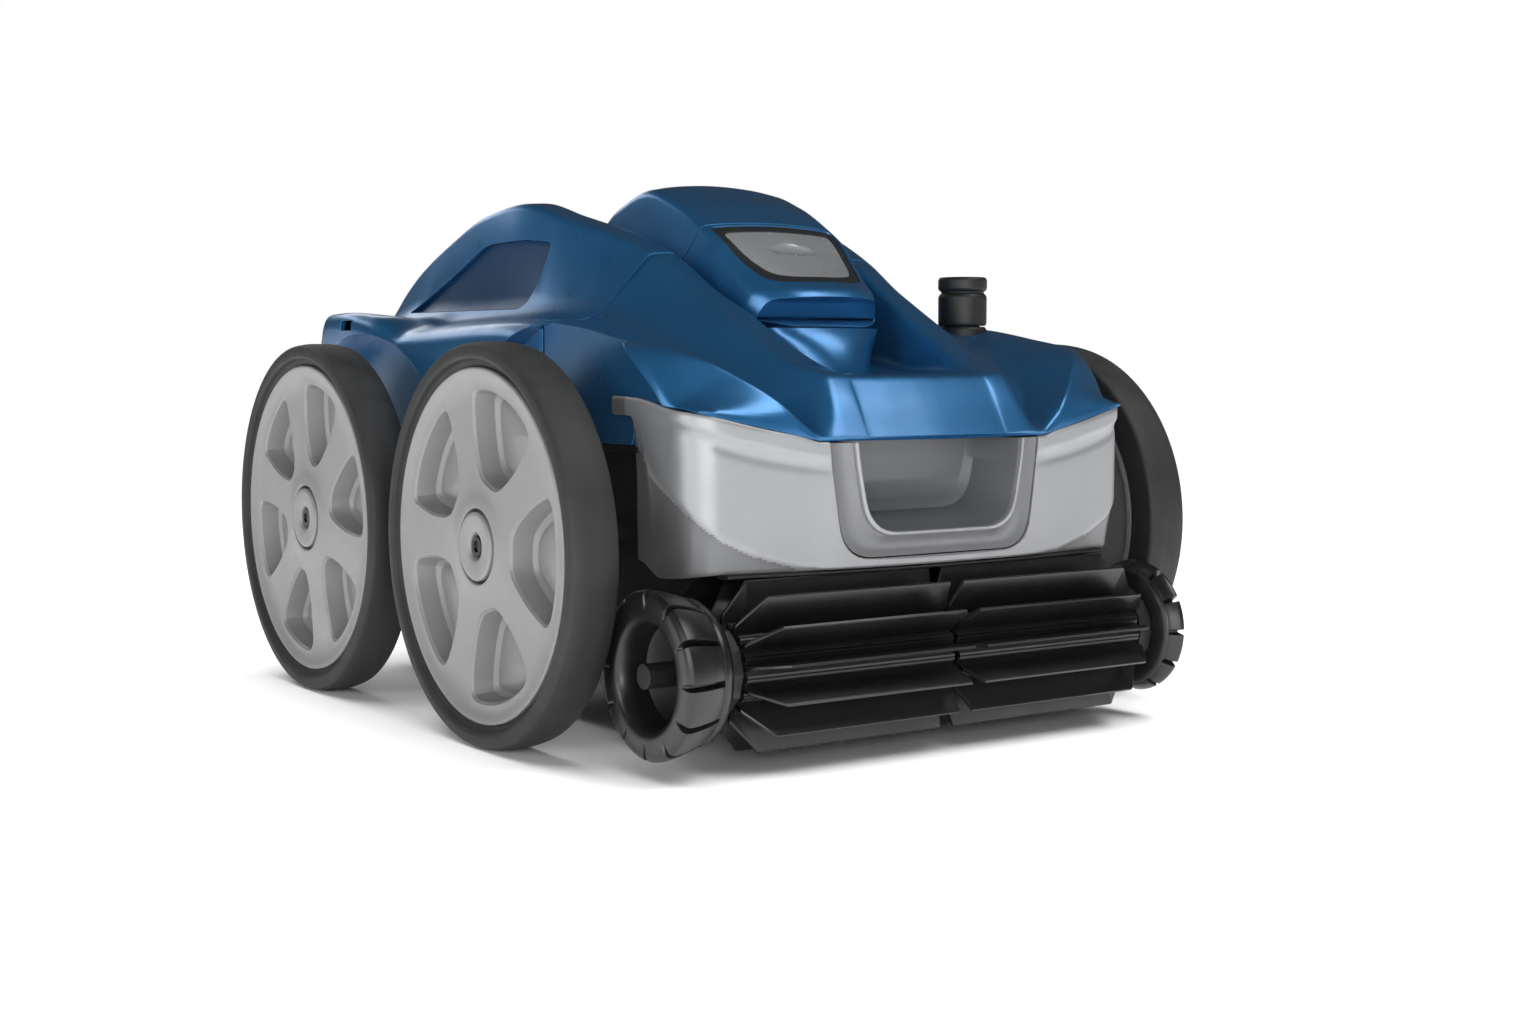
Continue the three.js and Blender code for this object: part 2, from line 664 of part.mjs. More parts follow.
// Half of one ring, from the middle of the channel to the middle of the lower edge, drawn in by some amount.
function cowlHalf(y, inset) {
  const [channelZ] = read(channel, y);
  const [innerX, innerZ] = read(finInner, y);
  const [outerX, outerZ] = read(finOuter, y);
  const [footX, footZ] = read(finFoot, y);
  const [crownX, crownZ] = read(crown, y);
  const [edgeX, edgeZ] = read(edge, y);
  const [skirtX, skirtZ] = read(skirt, y);
  const below = inset > 0 ? 30 : 0;
  return [
    [0, channelZ - inset],
    [innerX - 2 + inset, channelZ - inset],
    [innerX + inset, innerZ - inset],
    [outerX - inset, outerZ - inset],
    [footX - inset, footZ - inset],
    [crownX, crownZ - inset],
    [edgeX - inset, edgeZ - inset],
    [skirtX - inset, skirtZ - below],
    ...skirtFront.map(([x, z]) => [x, Math.min(z, skirtZ) - below]),
  ];
}

function cowlRing(y, inset) {
  const half = cowlHalf(y, inset).map(([x, z]) => [across(x), z]);
  const whole = [...half, ...half.slice(1, -1).reverse().map(([x, z]) => [-x, z])];
  const fade = Math.min(1, Math.max(0, (-70 - y) / 37));
  return whole.map(([x, z]) => [x, along(y) + fade * bowAt(x), z]);
}

const cowlPlaces = [-107, -103, -78, -60, -45, -4, 57, 101, 137, 150, 158, 177, 205, 270];
const innerPlaces = [-103, -60, -45, -4, 101, 150, 158, 205];
function cowlSkin(inset, start, end) {
  const places = inset < shellWall ? cowlPlaces : innerPlaces;
  const inner = places.filter((y) => y > start + 1 && y < end - 1);
  return lofted([start, ...inner, end].map((y) => cowlRing(y, inset)), [0, 2]);
}

const seam = 32;
const seamGap = 0.8;
const archInset = 3;
const wellHalf = 48.6;
const wellFront = along(-4);
const wellRear = along(150);
const cowlOuter = cut(
  cowlSkin(0, cowlFront, cowlTail),
  wheelArch(archRadius, frontAxleY, archFace),
  wheelArch(rearArchRadius, rearAxleY, archFace + 2.5),
);
const cowlInner = cut(
  cowlSkin(shellWall, cowlFront + shellWall, cowlTail - shellWall),
  wheelArch(archRadius + archInset, frontAxleY, archFace - archInset),
  wheelArch(rearArchRadius + archInset, rearAxleY, archFace + 2.5 - archInset),
);
const well = box(-wellHalf, wellHalf, wellFront, wellRear, 120, reach);
const seamPlane = along(seam);

// Window in the fin's flank, outline in (y, z).
const ventInner = 90;
const ventOutline = (inset) => [
  [along(101) + inset, 256 - inset], [along(126), 258 - inset], [along(166) - inset * 0.5, 257 - inset],
  [along(192) - inset, 244 - inset], [along(247) - 2.5 * inset, 219 + inset], [along(190), 219 + inset],
  [along(112) + inset, 219 + inset], [along(104) + inset, 232],
];
const ventSlab = (inset) => slabX(ventOutline(inset), across(ventInner), reach);
const cowlShell = cut(
  cowlOuter,
  cowlInner,
  well,
  ventSlab(0),
  mirrored(ventSlab(0)),
  rodZ(inletRadius - 1 + 2 * fit, deckHeight, reach, inletX, inletY),
);

// Neck under the lid's lip: widens upwards from the channel floor.
const lipY = -34;
const lidWidth = 42;
const lipBottom = 208;
function neckRing(z, halfWidth, front, back) {
  const ring = [];
  const steps = 10;
  for (let i = 0; i <= steps; i++) {
    const turn = Math.PI + (i * Math.PI) / steps;
    ring.push([halfWidth * Math.cos(turn), along(back) + (along(back) - along(front)) * Math.sin(turn), z]);
  }
  return ring;
}
const neck = (inset) => lofted([
  neckRing(180, 32 - inset, -48 + inset, -14),
  neckRing(lipBottom - fit, lidWidth - inset, lipY + inset, -14),
], [0, 1]);
const neckWalls = cut(neck(0), neck(shellWall).translate([0, 0, 1]), neck(shellWall).translate([0, 0, -4]),
  box(-reach, reach, along(-16), reach, 0, reach));
add("front_cowl", cut(
  join(cowlShell, neckWalls),
  box(-reach, reach, seamPlane - seamGap / 2, reach, 0, reach),
), blue);

const hingeY = along(157);
const hingeZ = 244;
const pinRadius = 2.5;
const knuckleRadius = 5.5;
const knuckles = [[-40, -30], [-14, 14], [30, 40]];
const hingeBrackets = knuckles.map(([x0, x1]) => join(
  rodX(knuckleRadius, x0, x1, hingeY, hingeZ),
  box(x0, x1, hingeY - 1, hingeY + 5, 226, hingeZ),
));
const cowlRear = cut(cowlShell, box(-reach, reach, -reach, seamPlane + seamGap / 2, 0, reach));
const tabSlot = box(across(150), reach, along(228), along(243), 208, 214);
add("rear_cowl", cut(
  join(cut(cowlRear, tabSlot, mirrored(tabSlot)), ...hingeBrackets),
  rodX(pinRadius + run, -reach, reach, hingeY, hingeZ),
), blue);
add("lid_hinge_pin", rodX(pinRadius, -42, 42, hingeY, hingeZ), steel);

const ventPlate = cut(cowlSkin(1.4, 60, 270), cowlSkin(shellWall - 0.2, 50, 280)).intersect(ventSlab(fit));
add("left_fin_vent", mirrored(ventPlate), deepBlue);
add("right_fin_vent", ventPlate, deepBlue);

// ---------- Lid ----------
// Rows hold the place behind the front axle, then the middle's height, the shoulder's x and z, and the
// lower edge's x and z.
const lidLine = [
  [lipY, 225, 38, 222, 41, lipBottom], [-30, 227, 41, 224, 43, lipBottom + 0.5],
  [27, 265, 44, 262, 49, 214], [83, 290, 44, 285, 50, 220], [115, 285, 44, 277, 50, 226],
  [150, 262, 42, 256, 49, 232],
];
function lidRing(y, inset) {
  const [middleZ, shoulderX, shoulderZ, lowerX, lowerZ] = read(lidLine, y);
  const below = inset > 0 ? 20 : 0;
  const half = [[0, middleZ - inset], [shoulderX * 0.6 - inset * 0.6, (middleZ * 2 + shoulderZ) / 3 - inset],
    [shoulderX - inset, shoulderZ - inset], [lowerX - inset, lowerZ - below]];
  const bow = y < 0 ? (y < -30 ? 5 : 3) : 0;
  const whole = [...half, ...half.slice(1).reverse().map(([x, z]) => [-x, z])];
  return whole.map(([x, z]) => [x, along(y) + bow * (x / lidWidth) ** 2, z]);
}
const lidPlaces = [lipY, -30, 27, 83, 115, 150];
function lidSkin(inset, start, end) {
  const inner = lidPlaces.filter((y) => y > start + 1 && y < end - 1);
  return lofted([start, ...inner, end].map((y) => lidRing(y, inset)), [0, 2]);
}
const lidWall = 2.4;
const lidShellAll = cut(lidSkin(0, lipY, 150), lidSkin(lidWall, lipY + lidWall, 150 - lidWall));
const noseSeam = 27;
const lidKnuckles = [[-29.5, -14.5], [14.5, 29.5]].map(([x0, x1]) => join(
  rodX(knuckleRadius, x0, x1, hingeY, hingeZ),
  box(x0, x1, along(149), hingeY, hingeZ - 3, hingeZ + 3),
));
add("lid_shell", cut(
  join(cut(lidShellAll, box(-reach, reach, -reach, along(noseSeam) + seamGap / 2, 0, reach)), ...lidKnuckles),
  rodX(pinRadius + run, -reach, reach, hingeY, hingeZ),
), blue);

// Window outline in (x, y): wide at the top, narrow with a round foot.
function windowOutline(inset) {
  const outline = new THREE.Shape();
  const top = along(23) - inset;
  const foot = along(-19) + inset;
  outline.moveTo(-37 + inset, top);
  outline.lineTo(-33 + inset, along(0));
  outline.quadraticCurveTo(-29 + inset, foot, -16, foot - 1.5);
  outline.quadraticCurveTo(0, foot - 3, 16, foot - 1.5);
  outline.quadraticCurveTo(29 - inset, foot, 33 - inset, along(0));
  outline.lineTo(37 - inset, top);
  return outline;
}
const bezelWidth = 4;
const buttonStem = 4;
const stemY = along(2);
const bracketTop = 219.5;
const bracketHalf = 45;
const lidNose = cut(lidShellAll, box(-reach, reach, along(noseSeam) - seamGap / 2, reach, 0, reach));
const springBracket = cut(
  box(-bracketHalf, bracketHalf, stemY - 9, stemY + 9, bracketTop - 2.5, bracketTop),
  rodZ(buttonStem + run, 0, reach, 0, stemY),
);
add("lid_nose", join(cut(lidNose, slabZ(windowOutline(0), bracketTop + 5, reach)), springBracket), blue);
const bezelSkin = cut(lidSkin(0.6, lipY, 150), lidSkin(lidWall + 1.4, lipY - 1, 151));
add("lid_bezel", cut(
  bezelSkin.intersect(slabZ(windowOutline(fit), 200, reach)),
  slabZ(windowOutline(bezelWidth), 200, reach),
), blackPlastic);

const stemFoot = bracketTop - 6;
const springRadius = 7;
const collarBottom = bracketTop + 12.5;
const buttonPlate = cut(lidSkin(1, lipY, 150), lidSkin(lidWall + 1.4, lipY - 1, 151))
  .intersect(slabZ(windowOutline(bezelWidth + run), 200, reach));
const fingerHollow = new THREE.SphereGeometry(60, 12, 6);
fingerHollow.scale(0.32, 0.13, 0.12).translate(0, along(4), 248);
add("release_button", cut(
  join(
    buttonPlate,
    rodZ(buttonStem, stemFoot, 244, 0, stemY),
    rodZ(springRadius + 1, collarBottom, collarBottom + 2, 0, stemY),
  ),
  solid(fingerHollow),
), windowGrey);

// Coil spring round the button's stem.
function spring(radius, wire, z0, z1, turns) {
  const perTurn = 8;
  const steps = turns * perTurn;
  const points = Array.from({ length: steps + 1 }, (_, i) => {
    const turn = (i / perTurn) * 2 * Math.PI;
    const z = z0 + ((z1 - z0) * i) / steps;
    return new THREE.Vector3(radius * Math.cos(turn), stemY + radius * Math.sin(turn), z);
  });
  const section = new THREE.Shape();
  section.absarc(0, 0, wire, 0, 2 * Math.PI, false);
  const curve = new THREE.CatmullRomCurve3(points);
  return solid(new THREE.ExtrudeGeometry(section, { steps, extrudePath: curve, curveSegments: 2 }));
}
const springWire = 0.8;
const springBottom = bracketTop + fit + springWire;
const springTop = collarBottom - fit - springWire;
add("release_spring", spring(springRadius, springWire, springBottom, springTop, 3), steel);

// ---------- Canister, screen, throat, float and jet ----------
const canisterHalf = 46;
const canisterFront = along(24);
const canisterRear = along(146);
const canisterTop = 203;
const canisterFloor = 116;
const canisterWall = 2;
const lipWidth = 2;
add("debris_canister", cut(
  join(
    box(-canisterHalf, canisterHalf, canisterFront, canisterRear, canisterFloor, canisterTop),
    box(-canisterHalf - lipWidth, canisterHalf + lipWidth, canisterFront - lipWidth, canisterRear + lipWidth,
      canisterTop - 3, canisterTop),
  ),
  box(-canisterHalf + canisterWall, canisterHalf - canisterWall, canisterFront + canisterWall,
    canisterRear - canisterWall, canisterFloor + canisterWall, canisterTop + 1),
  rodZ(throatRadius - 4, 0, axleZ + 40, 0, throatY, 16),
), canisterGrey);

const screenTop = 199;
const screenGap = 1;
const screenWall = 1.6;
const slotWidth = 5;
const screenHalf = canisterHalf - canisterWall - screenGap;
const screenFront = canisterFront + canisterWall + screenGap;
const screenRear = canisterRear - canisterWall - screenGap;
const screenSlots = [-28, -14, 0, 14, 28].map((x) =>
  box(x - slotWidth / 2, x + slotWidth / 2, -reach, reach, canisterFloor + 40, screenTop - 8));
add("filter_screen", cut(
  box(-screenHalf, screenHalf, screenFront, screenRear, canisterFloor + 30, screenTop),
  box(-screenHalf + screenWall, screenHalf - screenWall, screenFront + screenWall, screenRear - screenWall,
    0, reach),
  ...screenSlots,
), tyreRubber);

add("suction_throat", turnedZ([
  [throatRadius - 3, tubFloor - 6], [throatRadius, tubFloor - 6], [throatRadius, tubFloor + 40],
  [throatRadius - 2, canisterFloor - fit], [throatRadius - 4.5, canisterFloor - fit],
  [throatRadius - 3, tubFloor + 40], [throatRadius - 3, tubFloor - 6],
], 0, throatY), blackPlastic);

const floatHalf = 60;
const floatTop = 186;
const floatFront = canisterRear + 22;
add("foam_float", box(-floatHalf, floatHalf, floatFront, tubRear - 14, deckHeight + 4, floatTop), foamWhite);

const jetStart = [housingMiddle, outletEnd + fit, turbineZ];
const jetPipe = tube(
  jetStart,
  [housingMiddle, canisterRear + 54, turbineZ],
  [jetX, canisterRear + 54, jetZ],
  [jetX, tubRear - 12, jetZ],
  pipeRadius, pipeRadius - pipeWall, 8,
);
add("thrust_jet", join(
  jetPipe,
  cut(
    rodY(jetRadius, tubRear - 13, tubRear + 8, jetX, jetZ),
    rodY(pipeRadius - pipeWall, tubRear - 14, tubRear + 9, jetX, jetZ),
  ),
), blackPlastic);

// ---------- Brush ----------
const coreLength = brushHalf - brushGap;
const shaftStart = -caseX - caseWidth - leftLugWheel.width;
const shaftEnd = caseX + caseWidth + rightLugWheel.width;
add("brush_shaft", rodX(brushShaftRadius, shaftStart, shaftEnd, ...brushCentre), blackPlastic);
function brushSection() {
  const tipIn = brushGap + 3;
  const tipOut = brushHalf - 7;
  const outline = [[brushGap, brushCore - 1], [brushGap, brushCore + 8], [tipIn, brushRadius],
    [tipOut, brushRadius], [brushHalf - 1, brushCore + 6], [brushHalf - 1, brushCore - 1]];
  const vanes = Array.from({ length: vaneCount }, (_, i) =>
    slabY(outline, -vaneThickness / 2, vaneThickness / 2)
      .rotate([90 - vaneLift + (i * 360) / vaneCount, 0, 0]));
  const core = join(
    rodX(brushCore, brushGap, brushHalf, 0, 0, vaneCount),
    rodX(collarRadius, collarGap, brushGap + 1, 0, 0, vaneCount),
  );
  const bore = rodX(brushShaftRadius + fit, 0, reach, 0, 0);
  return cut(join(core, ...vanes), bore);
}
const section = brushSection();
add("right_brush", section.translate([0, ...brushCentre]), vinyl);
add("left_brush", mirrored(section).translate([0, ...brushCentre]), vinyl);

const lugCount = 12;
const lugStart = caseX + caseWidth + 0.6;
function lugWheel({ radius, width }) {
  const face = lugStart + width - 1;
  const dome = (tip) => [
    [0, lugStart], [0.65 * tip, lugStart], [0.9 * tip, lugStart + 0.38 * width], [tip, face], [0, face],
  ];
  const gaps = Array.from({ length: lugCount }, (_, i) =>
    box(lugStart + 0.1 * width, reach, -2.6, 2.6, radius / 2, reach).rotate([(i * 360) / lugCount, 0, 0]));
  const petals = cut(turnedX(dome(radius), 0, 0), ...gaps);
  const hollow = rodX(0.6 * radius, lugStart + 0.62 * width, reach, 0, 0);
  return cut(join(petals, turnedX(dome(radius - 6), 0, 0)), hollow,
    rodX(brushShaftRadius + fit, 0, reach, 0, 0));
}
add("right_lug_wheel", lugWheel(rightLugWheel).translate([0, ...brushCentre]), vinyl);
add("left_lug_wheel", mirrored(lugWheel(leftLugWheel)).translate([0, ...brushCentre]), vinyl);

// ---------- Bumper ----------
// Rows hold x, then the lower edge's height, and how far the corner turns back.
const bumperFoot = brushHeight + brushRadius + 2;
const bumperLow = [[0, bumperFoot], [126, bumperFoot], [134, bumperFoot + 6], [138, bumperFoot + 14],
  [140, bumperFoot + 25]];
const cornerRound = [[0, 0], [134, 0], [138, 1], [140, 3]];
const bumperSideTop = 167.9;
const bumperFace = -122;
const bumperBack = -103;
const bumperSide = 136;
const bumperEnd = 140;
function bumperRing(x, wrap) {
  const [low] = read(bumperLow, x);
  const [turn] = read(cornerRound, x);
  const high = read(parting, x)[0] - fit;
  const face = bumperFace + bowAt(across(x)) + turn;
  const inner = wrap ? bumperBack : face + shellWall;
  const innerTop = wrap ? bumperSideTop - fit : high;
  return [[inner, low], [face + 1.5, low], [face, low + 12], [face - 0.6, (low + high) / 2], [face + 1, high],
    [inner, innerTop]].map(([y, z]) => [across(x), along(y), z]);
}
const bumperStops = [0, 40, 71, 101, 126, 134, bumperSide];
const bumperRings = [
  ...bumperStops.map((x) => bumperRing(x, false)),
  bumperRing(bumperSide + 0.2, true), bumperRing(138, true), bumperRing(bumperEnd, true),
];
// The corner carries on as a side wall that runs back inside the front wheel, within the open arch.
const sideSpan = [archFace + 0.4, across(bumperEnd) + 1];
const sideTop = bumperSideTop - 1.5;
const sideFront = slabX([
  [along(-105), bumperFoot + 12], [along(-100), bumperFoot + 2], [along(-82), bumperFoot + 1],
  [along(-82), sideTop], [along(-105), sideTop],
], ...sideSpan);
const biggest = (body) => body.decompose().sort((a, b) => b.volume() - a.volume())[0];
const sideRear = biggest(slabX([
  [along(-86), bumperFoot + 1.5], [along(-70), bumperFoot + 1], [along(-52), bumperFoot + 8],
  [along(-60), 163], [along(-42), 165], [along(-42), 173.5], [along(-86), 169.7],
], ...sideSpan).intersect(rodX(archRadius - 1, 0, reach, frontAxleY, axleZ, round)));
const bumperHalf = join(lofted(bumperRings, [1, 2]), sideFront, sideRear);
const scoopHalf = (grow) => [
  [0, 106 - grow], [36 + grow, 106 - grow], [45 + grow, 118], [53 + grow, 160], [0, 160],
];
function scoop(grow, y0, y1) {
  const half = scoopHalf(grow);
  const whole = [...half, ...half.slice(1, -1).reverse().map(([x, z]) => [-x, z])];
  const ring = (y, narrow, raise) => whole.map(([x, z]) =>
    [x * narrow, along(y), z < 120 ? z + raise : z]);
  return lofted([ring(y0, 1, 0), ring(y1, 0.86, 8)], [0, 2]);
}
const scoopWall = 2.4;
const scoopTop = box(-reach, reach, -reach, reach, 151.2, reach);
add("front_bumper", cut(
  join(
    bumperHalf,
    mirrored(bumperHalf),
    cut(scoop(scoopWall, -120.5, -84), scoopTop),
  ),
  scoop(0, -130, -84 - scoopWall),
), silver);

export default root;
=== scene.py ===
# Pool cleaner: the fine visual model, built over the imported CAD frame. Metres, +Z up, +Y towards the tail.
import bpy
import bmesh
import json
import math
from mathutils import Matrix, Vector, geometry


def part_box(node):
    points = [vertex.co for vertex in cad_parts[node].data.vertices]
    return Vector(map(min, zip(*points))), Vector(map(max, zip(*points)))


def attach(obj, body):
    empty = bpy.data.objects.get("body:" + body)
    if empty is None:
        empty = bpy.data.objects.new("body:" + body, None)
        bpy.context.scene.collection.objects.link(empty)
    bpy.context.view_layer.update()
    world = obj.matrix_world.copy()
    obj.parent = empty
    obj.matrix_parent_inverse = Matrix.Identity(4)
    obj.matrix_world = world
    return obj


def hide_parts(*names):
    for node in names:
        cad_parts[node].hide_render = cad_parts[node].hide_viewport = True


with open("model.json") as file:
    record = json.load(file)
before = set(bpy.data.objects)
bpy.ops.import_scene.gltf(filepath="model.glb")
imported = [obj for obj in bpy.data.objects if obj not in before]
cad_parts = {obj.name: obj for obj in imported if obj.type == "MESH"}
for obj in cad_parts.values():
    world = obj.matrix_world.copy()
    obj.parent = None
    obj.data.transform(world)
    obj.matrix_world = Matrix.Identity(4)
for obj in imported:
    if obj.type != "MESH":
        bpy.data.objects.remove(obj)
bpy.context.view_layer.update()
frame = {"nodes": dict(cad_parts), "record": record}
MM = 0.001

# ---------- Places taken from the frame ----------


def middle_of(node):
    low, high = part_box(node)
    return [(a + b) / 2 for a, b in zip(low, high)]


FRONT_Y = middle_of("front_axle")[1] / MM
REAR_Y = middle_of("rear_axle")[1] / MM
AXLE_Z = middle_of("front_axle")[2] / MM
BRUSH_Y = middle_of("brush_shaft")[1] / MM
BRUSH_Z = middle_of("brush_shaft")[2] / MM
TYRE_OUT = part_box("front_right_tyre")[1][0] / MM
TYRE_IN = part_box("front_right_tyre")[0][0] / MM
TYRE_R = AXLE_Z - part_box("front_right_tyre")[0][2] / MM


def along(y):
    return FRONT_Y + y


# ---------- Camera ----------
camera = bpy.data.objects.new("camera", bpy.data.cameras.new("camera"))
bpy.context.scene.collection.objects.link(camera)
camera.data.sensor_width = 36.0
camera.data.lens = 46.69
camera.data.clip_start = 0.01
camera.location = (-0.63305, -0.95745, 0.19147)
YAW = math.radians(35.02)
PITCH = math.radians(-4.398)
ahead = Vector((math.sin(YAW) * math.cos(PITCH), math.cos(YAW) * math.cos(PITCH), math.sin(PITCH)))
camera.rotation_euler = ahead.to_track_quat("-Z", "Y").to_euler()
bpy.context.scene.camera = camera

# ---------- Materials ----------


def node(tree, kind, **inputs):
    made = tree.nodes.new(kind)
    for name, value in inputs.items():
        made.inputs[name.replace("_", " ")].default_value = value
    return made


def finish(name, color, rough, metallic=0.0, coat=0.0, coat_rough=0.1, grain=900.0, bump=0.05, blotch=0.08,
           round_mm=0.0, dust=0.0, specular=0.5):
    """A moulded or painted finish: grain as bump, slow colour variation, uneven gloss and softened edges."""
    mat = bpy.data.materials.new(name)
    mat.use_nodes = True
    tree = mat.node_tree
    tree.nodes.clear()
    out = tree.nodes.new("ShaderNodeOutputMaterial")
    shader = node(tree, "ShaderNodeBsdfPrincipled", Metallic=metallic)
    shader.inputs["Coat Weight"].default_value = coat
    shader.inputs["Coat Roughness"].default_value = coat_rough
    shader.inputs["Specular IOR Level"].default_value = specular
    tree.links.new(shader.outputs[0], out.inputs[0])
    place = tree.nodes.new("ShaderNodeTexCoord").outputs["Object"]
    slow = node(tree, "ShaderNodeTexNoise", Scale=14.0, Detail=3.0)
    fine = node(tree, "ShaderNodeTexNoise", Scale=grain, Detail=2.0)
    smear = node(tree, "ShaderNodeTexNoise", Scale=60.0, Detail=5.0)
    for noise in (slow, fine, smear):
        tree.links.new(place, noise.inputs["Vector"])
    tint = tree.nodes.new("ShaderNodeValToRGB")
    tint.color_ramp.elements[0].position = 0.3
    tint.color_ramp.elements[1].position = 0.7
    tint.color_ramp.elements[0].color = [c * (1 - blotch) for c in color] + [1]
    tint.color_ramp.elements[1].color = [min(1, c * (1 + blotch)) for c in color] + [1]
    tree.links.new(slow.outputs["Fac"], tint.inputs[0])
    base = tint.outputs[0]
    if dust:
        facing = tree.nodes.new("ShaderNodeNewGeometry")
        split = tree.nodes.new("ShaderNodeSeparateXYZ")
        tree.links.new(facing.outputs["Normal"], split.inputs[0])
        upward = node(tree, "ShaderNodeMapRange")
        upward.inputs["From Min"].default_value = 0.3
        upward.inputs["To Max"].default_value = dust
        tree.links.new(split.outputs["Z"], upward.inputs["Value"])
        speck = node(tree, "ShaderNodeMath")
        speck.operation = "MULTIPLY"
        tree.links.new(upward.outputs[0], speck.inputs[0])
        tree.links.new(smear.outputs["Fac"], speck.inputs[1])
        mix = tree.nodes.new("ShaderNodeMixRGB")
        mix.inputs[2].default_value = (0.3, 0.3, 0.29, 1)
        tree.links.new(speck.outputs[0], mix.inputs[0])
        tree.links.new(base, mix.inputs[1])
        base = mix.outputs[0]
    tree.links.new(base, shader.inputs["Base Color"])
    gloss = node(tree, "ShaderNodeMapRange")
    gloss.inputs["From Min"].default_value = 0.3
    gloss.inputs["From Max"].default_value = 0.7
    gloss.inputs["To Min"].default_value = max(0.02, rough - 0.05)
    gloss.inputs["To Max"].default_value = rough + 0.06
    tree.links.new(smear.outputs["Fac"], gloss.inputs["Value"])
    tree.links.new(gloss.outputs[0], shader.inputs["Roughness"])
    relief = node(tree, "ShaderNodeBump", Strength=bump, Distance=0.0004)
    tree.links.new(fine.outputs["Fac"], relief.inputs["Height"])
    if round_mm:
        soft = node(tree, "ShaderNodeBevel", Radius=round_mm * MM)
        soft.samples = 4
        tree.links.new(soft.outputs[0], relief.inputs["Normal"])
    tree.links.new(relief.outputs[0], shader.inputs["Normal"])
    return mat


MATERIALS = {
    "body_blue": finish("body_blue", (0.024, 0.155, 0.36), 0.32, 0.6, 0.5, 0.2, 1400, 0.05, 0.05, 0.9),
    "deep_blue": finish("deep_blue", (0.008, 0.05, 0.13), 0.36, 0.45, 0.2, 0.2, 1200, 0.06, 0.06, 0.6),
    "silver_plastic": finish("silver_plastic", (0.345, 0.35, 0.36), 0.40, 0.45, 0.1, 0.3, 1500, 0.05, 0.03, 0.9),
    "rim_grey": finish("rim_grey", (0.27, 0.272, 0.275), 0.44, 0.2, 0.0, 0.1, 1100, 0.08, 0.04, 0.7),
    "tyre_rubber": finish("tyre_rubber", (0.017, 0.0175, 0.0185), 0.62, 0, 0, 0.1, 1600, 0.25, 0.18,
                          dust=0.25),
    "belt_rubber": finish("belt_rubber", (0.02, 0.02, 0.021), 0.75, 0, 0, 0.1, 1800, 0.3, 0.1),
    "black_vinyl": finish("black_vinyl", (0.007, 0.0072, 0.0078), 0.34, 0, 0.25, 0.25, 700, 0.10, 0.2, 0.4),
    "black_plastic": finish("black_plastic", (0.0085, 0.009, 0.0095), 0.5, 0, 0, 0.1, 1500, 0.22, 0.12, 0.6),
    "window_grey": finish("window_grey", (0.42, 0.43, 0.44), 0.24, 0.35, 0.6, 0.08, 1500, 0.02, 0.03, 0.6),
    "steel": finish("steel", (0.48, 0.5, 0.52), 0.28, 1.0, 0, 0.1, 2500, 0.08, 0.05, 0.2),
    "canister_grey": finish("canister_grey", (0.115, 0.144, 0.168), 0.42, 0, 0, 0.1, 1300, 0.12, 0.06),
    "screen_mesh": finish("screen_mesh", (0.04, 0.042, 0.045), 0.6, 0, 0, 0.1, 2200, 0.5, 0.1),
    "foam": finish("foam", (0.72, 0.72, 0.68), 0.9, 0, 0, 0.1, 1800, 0.6, 0.06),
}
# A darker copy of silver_plastic: painted shade for the bumper's undercut corners, straps and scoop band.
PAINTED_SHADE_SILVER = finish("painted_shade_silver", (0.19, 0.193, 0.198), 0.45, 0.35, 0.1, 0.3, 1500, 0.06, 0.05, 0.9)
BEZEL_GREY = finish("bezel_grey", (0.022, 0.023, 0.025), 0.4, 0.1, 0.1, 0.3, 1500, 0.1, 0.06, 0.5)
# Steel painted nearly black: painted shade standing in for the deep hole round each wheel's screw.
SCREW_HOLE_PAINTED_SHADE_STEEL = finish("painted_shade_steel", (0.02, 0.02, 0.022), 0.3, 0.9, 0, 0.1, 2000, 0.05, 0.1)

slot_of = {row["node"]: row["material_slot"] for row in frame["record"]["subparts"]}
body_for = {name: body for body, names in frame["record"]["behaviour"]["bodies"].items() for name in names}
for name, thing in frame["nodes"].items():
    for place in thing.material_slots:
        place.material = MATERIALS[slot_of[name]]
    if not thing.material_slots:
        thing.data.materials.append(MATERIALS[slot_of[name]])

# A length well past the whole machine, for tools that cut right through.
FAR = 400

# ---------- Mesh tools ----------


def mesh_of(verts, faces):
    """A new mesh from places in millimetres, with its faces turned outwards."""
    mesh = bpy.data.meshes.new("piece")
    mesh.from_pydata([Vector(v) * MM for v in verts], [], faces)
    work = bmesh.new()
    work.from_mesh(mesh)
    bmesh.ops.remove_doubles(work, verts=work.verts, dist=1e-6)
    bmesh.ops.recalc_face_normals(work, faces=work.faces)
    work.to_mesh(mesh)
    work.free()
    return mesh


def solid(verts, faces):
    thing = bpy.data.objects.new("solid", mesh_of(verts, faces))
    bpy.context.scene.collection.objects.link(thing)
    return thing


def merged(*solids):
    """One mesh object that holds the closed bodies of several."""
    work = bmesh.new()
    for one in solids:
        work.from_mesh(one.data)
        bpy.data.objects.remove(one)
    mesh = bpy.data.meshes.new("piece")
    work.to_mesh(mesh)
    work.free()
    thing = bpy.data.objects.new("solid", mesh)
    bpy.context.scene.collection.objects.link(thing)
    return thing


def carve(base, tools, operation="DIFFERENCE"):
    """Applies booleans to base; the tools are used up."""
    for tool in tools:
        mod = base.modifiers.new("carve", "BOOLEAN")
        mod.object = tool
        mod.operation = operation
        mod.solver = "MANIFOLD"
        bpy.context.view_layer.update()
        made = bpy.data.meshes.new_from_object(base.evaluated_get(bpy.context.evaluated_depsgraph_get()))
        base.modifiers.clear()
        old = base.data
        base.data = made
        bpy.data.meshes.remove(old)
        bpy.data.objects.remove(tool)
    return base


